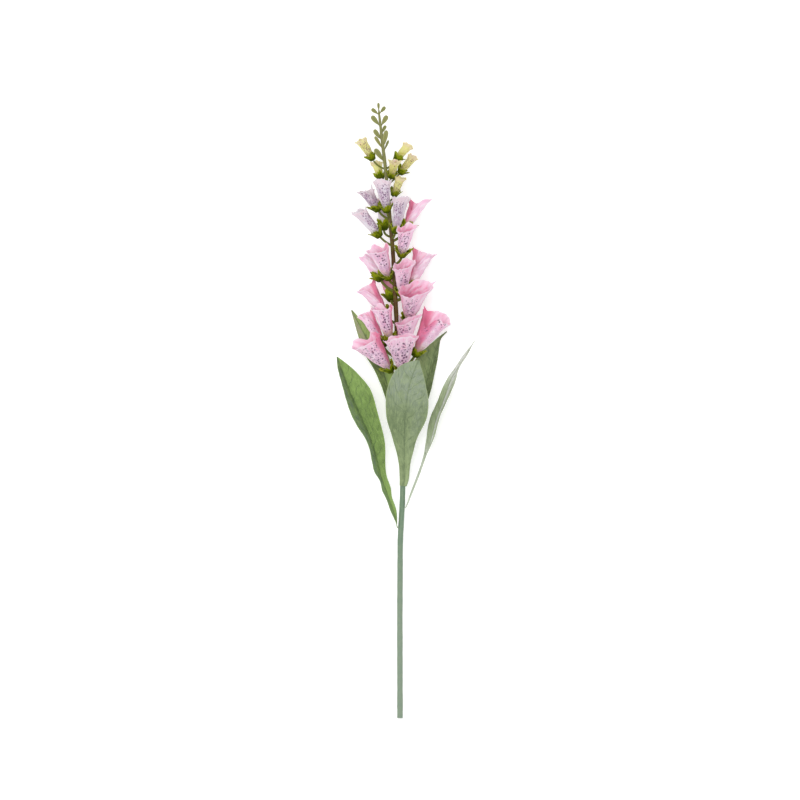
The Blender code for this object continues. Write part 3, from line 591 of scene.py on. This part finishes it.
def bell_grid(age, length, half_width, horns, slit, lift, marks, strip, chance):
    """Outer points of a bell, its values for the colours, and its cloth laid flat."""
    scale, lobes = AGES[age]["scale"], AGES[age]["lobes"]
    signed = np.linspace(-180, 180, BELL_COLUMNS, endpoint=False)
    degrees = signed % 360
    turn = np.radians(degrees)[None, :]
    share = np.concatenate([np.linspace(*span) for span in BELL_RINGS])[:, None]
    raised = round_the_mouth(degrees, [lobe[0] for lobe in lobes], lift)[None, :]
    horn_places = [lobe[0] for lobe in lobes if lobe[2] == 1.0]
    horn = np.zeros_like(turn)
    for centre, reach in zip(horn_places, (horns[1], horns[0])):
        off = np.abs(degrees - centre)[None, :] / AGES[age]["horns"]
        horn += np.clip(1 - off, 0, 1) ** 1.6 * reach * MM
    cleft = slit * length * np.clip(-np.cos(turn), 0, 1) ** 6
    upper = np.clip((share - 0.3) / 0.7, 0, 1) ** 1.5
    height = share * length + upper * (raised - cleft)
    low = BASE_RADIUS * scale * MM
    dome = low * np.sqrt(np.clip(1 - np.clip(1 - share / DOME, 0, 1) ** 2, 0.00001, 1))
    opened = np.clip((height / length - DOME) / (1 - DOME), 0, None)
    radius = np.where(share < DOME, dome, low + (half_width * MM - low) * opened ** 0.8)
    ellipse = np.where(share < DOME, 1.0, 1.0 - (1.0 - AGES[age]["flatness"]) * smooth(opened * 1.3))
    near_rim = np.clip((share - 0.8) / 0.2, 0, 1)
    flare = LIP_FLARE * scale * MM * np.where(cleft > 0.1 * length, 0.4, 1.0)
    radius = radius + flare * near_rim ** 2 + horn * near_rim ** 2.5
    height = height + 0.45 * horn * near_rim ** 2
    for waves, size in RIM_WAVES:
        phase = chance.uniform(0, 6)
        size *= scale * MM
        radius = radius + size * np.sin(waves * turn + phase) * (near_rim ** 1.5 + 0.3 * share)
        height = height + 0.7 * size * np.sin(waves * 2 * turn + phase) * near_rim ** 3
    for waves, rise in FOLD_WAVES:
        fold = np.abs(np.sin(waves / 2 * turn + rise * math.pi * share + chance.uniform(0, 6)))
        radius = radius + FOLD * scale * (fold - 0.64) * smooth((share - 0.14) / 0.3)
    x = radius * np.cos(turn) * ellipse
    y = radius * np.sin(turn)
    grid = np.stack(np.broadcast_arrays(x, y, height), axis=2)

    slant = math.hypot(length * (1 - DOME), half_width * MM - low)
    widening = max((half_width * MM - low) / slant, 0.15)
    fan = widening * np.radians(np.append(signed, 180.0))[None, :]
    away = low / widening + (share - DOME) / (1 - DOME) * slant
    cloth = np.stack([away * np.sin(fan), away * np.cos(fan)], axis=2) * 10 + drawn_place(chance)
    amount, middle, spread, first, last = marks
    side = degrees_apart(signed, middle)
    zone = smooth((share - first) / 0.1 + 0.5) * smooth((last - share) / 0.1 + 0.5)
    near = smooth((spread - side) / (0.5 * spread) + 0.5)
    place_of_strip, half_angle, strength = strip
    from_strip = degrees_apart(signed, place_of_strip)
    broad = smooth((share - 0.06) / 0.1) * smooth((last - share) / 0.25)
    broad = broad * smooth((spread + 25 - side) / 30)
    values = {
        "along": share,
        "round_x": np.cos(turn),
        "round_y": np.sin(turn),
        "tint": chance.random(),
        "spots": amount * zone * near,
        "specks": min(1.0, amount * 1.2) * broad,
        # Darker pink on the stem's side and in the strip, partly the inside's colour and partly painted
        # shade.
        "strip_and_shade": np.maximum(
            smooth((np.abs(signed)[None, :] - 150) / 20) * 0.3,
            smooth((half_angle - from_strip) / 24) * smooth((share - 0.05) / 0.3) * strength,
        ),
    }
    return grid, values, cloth


def calyx_grid(scale, tips, lean, chance):
    """Outer points of a cup with five pointed sepals whose edges are waved."""
    turn = np.linspace(0, 2 * math.pi, CALYX_COLUMNS, endpoint=False)
    sector = turn / (2 * math.pi / SEPALS)
    sepal = np.round(sector).astype(int) % SEPALS
    middle = 1 - np.abs(sector - np.round(sector)) * 2
    reach = middle ** 0.62
    tip_r, tip_z = np.array(tips)[sepal].T
    level = np.linspace(0, 1, CALYX_RINGS)[:, None]
    cup = np.clip(level / CALYX_CUP_SHARE, 0, 1) * math.pi / 2
    t = np.clip((level - CALYX_CUP_SHARE) / (1 - CALYX_CUP_SHARE), 0, 1)
    (foot_r, foot_z), (cup_r, cup_z), (notch_r, notch_z) = CALYX_FOOT, CALYX_CUP, CALYX_NOTCH
    radii = foot_r + (cup_r - foot_r) * np.sin(cup)
    radii = radii + (notch_r + (tip_r - notch_r) * reach - cup_r) * t + lean * t ** 3 * reach ** 3
    radii = radii + 0.9 * t * t * np.sin(15 * turn + tip_r * 3) - 2 * middle ** 3 * t * (1 - t)
    heights = foot_z + (cup_z - foot_z) * (1 - np.cos(cup))
    heights = heights + (notch_z + (tip_z - notch_z) * reach - cup_z) * t
    heights = heights + 0.8 * t * t * np.sin(20 * turn + tip_r * 5)
    heights = np.where(heights > 0, heights * scale, heights)
    grid = np.stack([radii * scale * np.cos(turn), radii * scale * np.sin(turn), heights], axis=2) * MM
    round_it, up_it = CLOTH_OF_CALYX
    flat = np.broadcast_arrays(np.append(turn, 2 * math.pi) * round_it, level * up_it)
    cloth = np.stack(flat, axis=2) + drawn_place(chance)
    return grid, {"along": level, "middle": middle[None, :]}, cloth


def stood(grid, rotation, base):
    """A flower's own points set on the plant."""
    turned = np.array(rotation.to_matrix())
    return grid @ turned.T + np.array(base)


def build_flower(number, age, base, mouth, half_width, horns, slit, turn, edge, petals, calyx):
    """A bell and its calyx, each a sheet of cloth, drawn by rule from the flower's own seed."""
    chance = random.Random(100 + number)
    base, mouth = place(*base), place(*mouth)
    rotation = flower_frame(base, mouth, turn)
    scale = AGES[age]["scale"]
    slant, lip, hood = edge
    lift = []
    for degrees, rise, horn, front, back in AGES[age]["lobes"]:
        drawn = rise * scale * chance.uniform(0.7, 1.4)
        tilted = slant * math.sin(math.radians(degrees))
        lift.append((drawn + tilted + lip * front + hood * back) * MM)
    tips = [
        (CALYX_TIP[0] + chance.uniform(-1.2, 1.6), CALYX_TIP[1] + chance.uniform(-2.0, 1.0))
        for _ in range(SEPALS)
    ]
    calyx_turn = Quaternion((0, 0, 1), chance.uniform(0, 2 * math.pi / SEPALS))
    viewer = rotation.inverted() @ Vector((0, 0, 1))
    amount, off, *field = MARKS.get(number, NO_MARKS)
    marks = (amount, math.degrees(math.atan2(viewer.y, viewer.x)) + off, *field)
    across = rotation.inverted() @ Vector((1, 0, 0))
    side, half_angle, strength = STRIPS.get(number, (1, 50, 0.0))
    strip = (math.degrees(math.atan2(side * across.y, side * across.x)), half_angle, strength)
    length = (mouth - base).length
    grid, values, cloth = bell_grid(age, length, half_width, horns, slit, lift, marks, strip, chance)
    cream_foot, cream_end = CREAM_ENDS
    cream = smooth((cream_end - values["along"]) / (cream_end - cream_foot))
    values["cream"] = CREAM.get(number, 0.0) * cream
    thin_sheet(
        f"petals_{number:02d}", stood(grid, rotation, base), CLOTH, True, values, cloth,
        petals[age], f"petal_{age}", f"bell_{number:02d}",
    )
    grid, values, cloth = calyx_grid(scale, tips, SNUG.get(number, SEPAL_LEAN), chance)
    thin_sheet(
        f"sepals_{number:02d}", stood(grid, rotation @ calyx_turn, base), CLOTH, True, values, cloth,
        calyx, "calyx", f"calyx_{number:02d}",
    )


# Leaves


def leaf_rows(side, row, foot, midrib):
    """Rows along the midrib, with the base set beside the stem."""
    column, radius = stem_at(row)
    away = (radius * MM + GAP + LEAF_THICKNESS) * 1.04
    column += away * math.sin(math.radians(side)) / POINT
    depth = away * math.cos(math.radians(side)) / MM
    facing = side + 180 - 360 * round((side + 180 - midrib[0][3]) / 360)
    return [(column, row, depth, facing, 5, foot, foot), *midrib]


def build_leaf(number, name, side, row, foot, slot, midrib):
    """A leaf folded along its midrib, with waved edges, sunken veins and raised cloth between them."""
    chance = random.Random(40 + number)
    phases = (chance.uniform(0, 6), chance.uniform(0, 6))
    rows = curve_through(leaf_rows(side, row, foot, midrib), LEAF_ROWS)
    middles = np.array([place(*row[:3]) for row in rows])
    tangents = unit(np.gradient(middles, axis=0))
    turn = np.radians(rows[:, 3])
    normals = np.stack([np.sin(turn), np.zeros_like(turn), np.cos(turn)], axis=1)
    normals = unit(normals - np.sum(normals * tangents, axis=1, keepdims=True) * tangents)
    sides = np.cross(tangents, normals)
    lift = np.radians(rows[:, 4])[:, None]
    share = np.linspace(-1, 1, LEAF_COLUMNS)
    share = (np.sign(share) * np.abs(share) ** 1.1)[None, :]
    width = np.where(share < 0, rows[:, 5:6], rows[:, 6:7]) * MM
    along = np.linspace(0, 1, LEAF_ROWS)[:, None]
    phase = np.where(share > 0, phases[1], phases[0])
    wave = np.sin(EDGE_WAVES_ALONG * 2 * math.pi * along * (CAD_LEAF_ROWS - 1) / CAD_LEAF_ROWS + phase)
    wave = wave * EDGE_WAVE * share ** 2 * np.minimum(1.0, width / (12 * MM))
    out = (np.cos(lift) * share * width)[..., None] * sides[:, None, :]
    up = (np.sin(lift) * np.abs(share) * width + wave)[..., None] * normals[:, None, :]
    sheet = middles[:, None, :] + out + up

    run = np.concatenate([[0], np.cumsum(np.linalg.norm(np.diff(middles, axis=0), axis=1))])[:, None]
    off = share * width
    open_width = smooth((width / MM - 4) / 8)
    vein = (run - np.abs(off) * VEIN_RISE) / VEIN_SPACING + 0.5 * (share > 0)
    from_vein = np.abs(vein - np.round(vein))
    relief = QUILT * (np.cos(2 * math.pi * (from_vein - 0.5)) - 1) * 0.5 * open_width
    relief = relief * smooth(np.abs(off) / (3 * MM))
    relief = relief - MIDRIB_DEPTH * np.exp(-(off / MIDRIB_WIDTH) ** 2)
    upper = sheet + (LEAF_CLOTH + relief)[..., None] * grid_normals(sheet, False)
    lowest = (np.array(PLANT.to_3x3()) @ upper.reshape(-1, 3).T).T[:, 2] + PLANT.translation.z
    short = np.maximum(LEAF_CLOTH + 0.2 * MM - lowest, 0).reshape(upper.shape[:2])
    lifted = np.array(PLANT.to_3x3().inverted() @ Vector((0, 0, 1)))
    upper = upper + short[..., None] * lifted

    cloth = np.stack([off * 10, run * 10 + 0 * off], axis=2) + np.array([number * 5.3, number * 2.9])
    values = {"across": share, "off": off / MM, "run": run / MM, "along": along, "open": open_width}
    for key in FIELD_KINDS:
        values[key] = leaf_field(name, key, rows[:, 1:2], share)
    looks = leaf_materials(name)
    thin_sheet(f"{name}_cloth", upper, LEAF_CLOTH, False, values, cloth, looks, slot, name)


# Materials


class Material:
    """A material being made: its nodes, and the colour that they have given so far."""

    def __init__(self, name, colour):
        self.made = bpy.data.materials.new(name)
        self.made.use_nodes = True
        self.made.node_tree.nodes.clear()
        self.colour = colour

    def node(self, kind, inputs, **settings):
        tree = self.made.node_tree
        made = tree.nodes.new(kind)
        for key, value in settings.items():
            setattr(made, key, value)
        for key, value in inputs.items():
            if isinstance(value, bpy.types.NodeSocket):
                tree.links.new(value, made.inputs[key])
            else:
                made.inputs[key].default_value = value
        return made

    def reading(self, name):
        """One of the values that the mesh carries at its points."""
        return self.node("ShaderNodeAttribute", {}, attribute_name=name).outputs["Fac"]

    def laid_flat(self):
        """The place on the cloth laid flat, in tenths of a metre."""
        return self.node("ShaderNodeUVMap", {}, uv_map="cloth").outputs["UV"]

    def in_space(self):
        return self.node("ShaderNodeTexCoord", {}).outputs["Object"]

    def math(self, kind, first, second=0.0):
        return self.node("ShaderNodeMath", {0: first, 1: second}, operation=kind).outputs[0]

    def times(self, first, second):
        return self.math("MULTIPLY", first, second)

    def vectors(self, kind, first, second):
        return self.node("ShaderNodeVectorMath", {0: first, 1: second}, operation=kind).outputs[0]

    def ramp(self, value, low, high, last=1.0, first=0.0):
        """Eases from the first number to the last while the value goes from low to high."""
        inputs = {"Value": value, "From Min": low, "From Max": high, "To Min": first, "To Max": last}
        return self.node("ShaderNodeMapRange", inputs, interpolation_type="SMOOTHSTEP").outputs["Result"]

    def noise(self, vector, scale, detail=2.0, roughness=0.5):
        inputs = {"Vector": vector, "Scale": scale, "Detail": detail, "Roughness": roughness}
        return self.node("ShaderNodeTexNoise", inputs).outputs["Fac"]

    def dots(self, vector, cell, largest, density, strength):
        """Round marks of many sizes, in a share of the cells: cell and largest radius in millimetres."""
        shaken = self.node("ShaderNodeTexNoise", {"Vector": vector, "Scale": 90.0, "Detail": 1.0})
        away = self.vectors("SUBTRACT", shaken.outputs["Color"], (0.5, 0.5, 0.5))
        rough = self.vectors("ADD", vector, self.vectors("MULTIPLY", away, (DOT_SHAKE,) * 3))
        inputs = {"Vector": rough, "Scale": 100 / cell, "Randomness": 0.9}
        cells = self.node("ShaderNodeTexVoronoi", inputs, voronoi_dimensions="2D", feature="F1")
        draws = self.node("ShaderNodeSeparateColor", {0: cells.outputs["Color"]})
        present = self.math("LESS_THAN", draws.outputs[0], density)
        size = self.ramp(draws.outputs[1], 0.0, 1.0, largest / cell, first=0.4 * largest / cell)
        inside = self.math("SUBTRACT", size, cells.outputs["Distance"])
        return self.times(self.ramp(inside, 0.0, 0.10, strength), present)

    def creases(self, vector):
        """The height of a petal's soft creases, which run along it, with its weave."""
        along = self.vectors("MULTIPLY", vector, (1.0, 0.35, 1.0))
        weave = self.times(self.noise(vector, 260.0), 0.12)
        return self.math("ADD", self.noise(along, 19.0, 3.0), weave)

    def mixed(self, share, first, second, kind="MIX"):
        inputs = {0: share, 6: first, 7: second}
        return self.node("ShaderNodeMix", inputs, data_type="RGBA", blend_type=kind).outputs[2]

    def lay(self, share, colour, kind="MIX"):
        """Lays a colour over the others, as strongly as the share says."""
        self.colour = self.mixed(share, self.colour, colour, kind)

    def ease_in(self, colour, value, low, high, strength=1.0):
        """Lays a colour that grows to its strength while the value goes from low to high."""
        self.lay(self.ramp(value, low, high, strength), colour)

    def shaded(self, shader_inputs):
        shader = self.node("ShaderNodeBsdfPrincipled", shader_inputs)
        self.node("ShaderNodeOutputMaterial", {"Surface": shader.outputs["BSDF"]})
        return self.made

    def finished(self, height, bump, step, roughness=0.6, shine=0.3, through=0.0, sheen=0.0):
        """The material with its one shader, which takes the colour and the relief."""
        bumped = self.node("ShaderNodeBump", {"Height": height, "Strength": bump, "Distance": step})
        return self.shaded({
            "Base Color": self.colour,
            "Normal": bumped.outputs["Normal"],
            "Roughness": roughness,
            "Specular IOR Level": shine,
            "Subsurface Weight": through,
            "Subsurface Radius": (1.0, 0.6, 0.6),
            "Subsurface Scale": 0.003,
            "Sheen Weight": sheen,
            "Sheen Roughness": 0.5,
        })


def petal_outside(age, foot_ends, dots, few, colour):
    """Outer cloth: a foot of its own colour, a light rim, creases with painted shade in their hollows and
    painted highlight on their ridges, a darker strip that is partly painted shade, and dark spots.
    """
    cloth = Material(f"petal_{age}_outside", colour["foot"])
    vector = cloth.laid_flat()
    along, tint, specks = cloth.reading("along"), cloth.reading("tint"), cloth.reading("specks")
    folds = cloth.creases(vector)
    cloth.ease_in(colour["body"], along, *foot_ends)
    cloth.ease_in(colour["light"], cloth.noise(vector, 7.0, 3.0), 0.38, 0.66, 0.5)
    cloth.ease_in(colour["rim"], along, 0.74, 1.0, 0.8)
    inputs = {"X": cloth.reading("round_x"), "Y": cloth.reading("round_y"), "Z": tint}
    around = cloth.node("ShaderNodeCombineXYZ", inputs).outputs[0]
    cloth.ease_in(colour["inside_rim"], cloth.noise(around, 9.0, 3.0), 0.5, 0.75, 0.5)
    bright = cloth.ramp(tint, 0.0, 1.0, 1.06, first=0.95)
    level = cloth.node("ShaderNodeCombineColor", {0: bright, 1: bright, 2: bright}).outputs[0]
    cloth.lay(1.0, level, "MULTIPLY")
    # Painted shade in the creases' hollows, then painted highlight on their ridges.
    cloth.ease_in(colour["inside"], folds, 0.52, 0.38, 0.42)
    cloth.ease_in(colour["light"], folds, 0.57, 0.71, 0.75)
    cloth.ease_in(colour["light"], along, 0.95, 1.0, 0.75)
    # Painted shade, partly the inside's deep pink: the strip and the stem's side.
    cloth.lay(cloth.times(cloth.reading("strip_and_shade"), 0.9), colour["strip_and_shade"])
    cloth.lay(cloth.reading("cream"), linear(*CREAM_COLOUR))
    cloudy = cloth.ramp(cloth.noise(vector, 16.0), 0.35, 0.6, 0.6)
    cloth.lay(cloth.times(specks, cloudy), colour["haze"])
    spots = cloth.dots(vector, *dots, cloth.reading("spots"), 0.92)
    fine = cloth.dots(vector, *SPECKS, cloth.times(specks, few), 0.7)
    cloth.lay(cloth.math("MAXIMUM", spots, fine), colour["spot"])
    return cloth.finished(folds, 0.9, 0.002, roughness=0.62, through=0.12, sheen=0.12)


def petal_inside(age, dots, colour):
    """Inner cloth, deeper in colour toward the foot, with painted shade and highlight on its creases,
    where the outside's spots and strips, partly painted shade, show too.
    """
    cloth = Material(f"petal_{age}_inside", colour["inside"])
    vector, along = cloth.laid_flat(), cloth.reading("along")
    folds = cloth.creases(vector)
    cloth.ease_in(colour["inside_rim"], along, 0.55, 0.95)
    cloth.ease_in(colour["light"], cloth.noise(vector, 9.0, 3.0), 0.35, 0.7, 0.45)
    # Painted shade in the creases' hollows, then painted highlight on their ridges.
    cloth.ease_in(colour["strip_and_shade"], folds, 0.53, 0.40, 0.5)
    cloth.ease_in(colour["light"], folds, 0.56, 0.68, 0.5)
    cloth.ease_in(colour["light"], along, 0.95, 1.0, 0.6)
    # The strip inside, partly painted shade.
    cloth.lay(cloth.times(cloth.reading("strip_and_shade"), 0.85), colour["strip_and_shade"])
    cloth.lay(cloth.dots(vector, *dots, cloth.reading("spots"), 0.8), colour["spot"])
    return cloth.finished(folds, 0.8, 0.002, roughness=0.66, through=0.12, sheen=0.1)


def petal_materials(age, foot_ends, dots, few, colours):
    colour = {key: linear(*value) for key, value in colours.items()}
    return [petal_outside(age, foot_ends, dots, few, colour), petal_inside(age, dots, colour)]


def leaf_field(name, kind, rows, share):
    """How strongly one of a leaf's colours shows at each of its points."""
    found = np.zeros((rows.shape[0], share.shape[1]))
    for colour, row, high, middle, wide, strength in LEAF_FIELDS[name]:
        if colour == kind:
            field = np.exp(-((rows - row) / high) ** 4 - np.abs((share - middle) / wide) ** 3) * strength
            found = np.maximum(found, field)
    return found


def vein_lines(cloth, vector, off, away):
    """Dark lines that climb from the midrib to both edges, bent a little and broken in places."""
    climbed = cloth.math("SUBTRACT", cloth.reading("run"), cloth.times(away, VEIN_RISE))
    right = cloth.times(cloth.math("GREATER_THAN", off, 0.0), 0.5)
    steps = cloth.math("ADD", cloth.math("DIVIDE", climbed, VEIN_SPACING / MM), right)
    bent = cloth.math("ADD", steps, cloth.times(cloth.noise(vector, 5.0), 1.3))
    lines = cloth.ramp(cloth.math("PINGPONG", bent, 0.5), 0.10, 0.0, 0.75)
    lines = cloth.times(lines, cloth.reading("open"))
    return cloth.times(lines, cloth.ramp(cloth.noise(vector, 6.0, 1.0), 0.35, 0.6, first=0.1))


def leaf_material(name, look, side, pale, sheen):
    """One side of a leaf: soft fields of colour, partly painted light and shade, veins, fibres along it,
    flecks and a light edge that is a painted highlight.
    """
    colour = {key: linear(*value) for key, value in zip(LEAF_COLOURS, look)}
    cloth = Material(f"{name}_{side}", colour["main"])
    vector = cloth.laid_flat()
    off = cloth.reading("off")
    away = cloth.math("ABSOLUTE", off)
    cloth.ease_in(colour["foot"], cloth.reading("along"), 0.42, 0.22, 0.8)
    uneven = cloth.ramp(cloth.noise(vector, 9.0, 3.0), 0.3, 0.6, 1.1, first=0.6)
    # The fields lay the leaf's own tone together with painted light and shade on folded halves, beside
    # midribs and along an edge.
    for key in FIELD_KINDS:
        field = cloth.times(cloth.reading(key), uneven)
        cloth.lay(cloth.math("MINIMUM", field, 1.0), colour[key])
    cloth.ease_in(colour["light"], cloth.noise(vector, 7.0, 4.0), 0.42, 0.66, 0.3)
    cloth.lay(vein_lines(cloth, vector, off, away), colour["dark"])
    cloth.ease_in(colour["dark"], away, 1.5, 0.3, 0.55)
    fibres = cloth.noise(cloth.vectors("MULTIPLY", vector, (1.0, 0.22, 1.0)), 42.0, 5.0, 0.65)
    cloth.ease_in(colour["light"], fibres, 0.50, 0.66, 0.55)
    cloth.ease_in(colour["dark"], fibres, 0.49, 0.35, 0.35)
    cloth.ease_in(linear(178, 192, 132), cloth.noise(vector, 110.0, 2.0, 0.6), 0.58, 0.68, 0.5)
    edge = cloth.math("ABSOLUTE", cloth.reading("across"))
    # Painted highlight along the edges.
    cloth.ease_in(colour["light"], edge, 0.94, 0.99, 0.7)
    cloth.lay(pale, colour["grey"])
    height = cloth.math("ADD", cloth.noise(vector, 230.0, 3.0), cloth.times(fibres, 1.5))
    return cloth.finished(height, 0.5, 0.0003, sheen=sheen)


def leaf_materials(name):
    sides = (("upper", 0.0, 0.05), ("under", 0.2, 0.15))
    return [leaf_material(name, LEAF_LOOKS[name], *side) for side in sides]


def calyx_material():
    """Green cloth, darker in the cup with painted shade, in patches and along the middle of each sepal.
    """
    cloth = Material("calyx_cloth", linear(62, 72, 0))
    vector, along = cloth.laid_flat(), cloth.reading("along")
    # Painted shade in the cup: the dark first colour gives way to this green toward the sepals' tips.
    cloth.ease_in(linear(134, 146, 20), along, 0.2, 0.75)
    cloth.ease_in(linear(62, 80, 0), cloth.noise(vector, 16.0), 0.42, 0.6, 0.85)
    cloth.ease_in(linear(174, 178, 72), along, 0.82, 1.0, 0.6)
    cloth.ease_in(linear(70, 84, 4), cloth.reading("middle"), 0.86, 1.0, 0.45)
    return cloth.finished(cloth.noise(vector, 60.0), 0.8, 0.0012, shine=0.05)


def stem_material():
    """Plastic, grey green from the cut up, brown where the flowers begin and olive at the top."""
    plastic = Material("stem_plastic", linear(124, 142, 123))
    row, where = plastic.reading("row"), plastic.in_space()
    mottle = plastic.noise(where, 160.0, 3.0)
    plastic.ease_in(linear(106, 130, 106), row, 640.0, 500.0)
    plastic.ease_in(linear(150, 160, 130), mottle, 0.35, 0.7, 0.2)
    brown = plastic.mixed(plastic.ramp(mottle, 0.42, 0.6), linear(82, 54, 18), linear(94, 84, 18))
    plastic.ease_in(brown, row, 400.0, 370.0)
    plastic.ease_in(linear(124, 124, 74), row, 250.0, 175.0)
    plastic.lay(plastic.times(plastic.reading("stalk"), 0.85), linear(98, 106, 32))
    grain = plastic.noise(plastic.vectors("MULTIPLY", where, (1.0, 0.06, 1.0)), 900.0)
    return plastic.finished(grain, 0.4, 0.0002, roughness=0.55)


def bud_material():
    """The buds' green, lighter along their edges and darker at their crease and foot."""
    plastic = Material("bud_green", linear(126, 130, 76))
    edge = plastic.reading("edge")
    plastic.lay(plastic.reading("tint"), linear(142, 140, 84))
    plastic.ease_in(linear(190, 190, 146), edge, 0.74, 1.0, 0.85)
    plastic.ease_in(linear(104, 108, 62), edge, 0.25, 0.0, 0.45)
    plastic.ease_in(linear(112, 116, 66), plastic.reading("along"), 0.3, 0.0, 0.6)
    return plastic.finished(plastic.noise(plastic.in_space(), 1500.0), 0.3, 0.0002, roughness=0.55)


# Floor, light and camera


def build_floor():
    mesh = bpy.data.meshes.new("floor")
    far = FLOOR_HALF
    corners = [(x, y, -FLOOR_GAP) for x, y in ((-far, -far), (far, -far), (far, far), (-far, far))]
    mesh.from_pydata(corners, [], [(0, 1, 2, 3)])
    mesh.materials.append(Material("floor_white", FLOOR_WHITE).shaded({
        "Base Color": FLOOR_WHITE,
        "Roughness": 1.0,
        "Emission Color": FLOOR_WHITE,
        "Emission Strength": 0.27,
    }))
    put_out("floor", mesh)


def light_the_room():
    world = bpy.data.worlds.new("studio")
    world.use_nodes = True
    sky = world.node_tree.nodes["Background"]
    sky.inputs["Color"].default_value = (1.0, 1.0, 1.0, 1.0)
    sky.inputs["Strength"].default_value = 0.80
    bpy.context.scene.world = world
    data = bpy.data.lights.new("key", "AREA")
    data.shape = "DISK"
    data.size = 2.0
    data.energy = 52.0
    lamp = put_out("key", data)
    lamp.location = KEY_LIGHT
    lamp.rotation_euler = (Vector(KEY_AIM) - lamp.location).to_track_quat("-Z", "Y").to_euler()


def set_the_camera():
    """Looks straight at the plant's front from far off, with the picture's frame at the stem's depth."""
    camera = bpy.data.cameras.new("camera")
    camera.lens = 300.0
    camera.sensor_width = 36.0
    camera.clip_start = 0.1
    camera.clip_end = 40.0
    holder = put_out("camera", camera)
    distance = PICTURE_SIDE * POINT * camera.lens / camera.sensor_width
    middle = place(MIDDLE_COLUMN, MIDDLE_ROW, 0) + Vector((0, 0, distance))
    scene = bpy.context.scene
    holder.matrix_world = PLANT @ Matrix.Translation(middle)
    scene.camera = holder
    scene.view_settings.view_transform = "Standard"


def main():
    rod, bud, calyx = stem_material(), bud_material(), calyx_material()
    petals = {age: petal_materials(age, *look) for age, look in PETALS.items()}
    build_stem_rod([rod])
    build_stalks([rod])
    build_buds([bud])
    for number, (name, leaf) in enumerate(LEAVES.items()):
        build_leaf(number, name, *leaf)
    for number, row in enumerate(FLOWERS, start=1):
        build_flower(number, *row, petals, [calyx, calyx])
    build_floor()
    light_the_room()
    set_the_camera()


main()
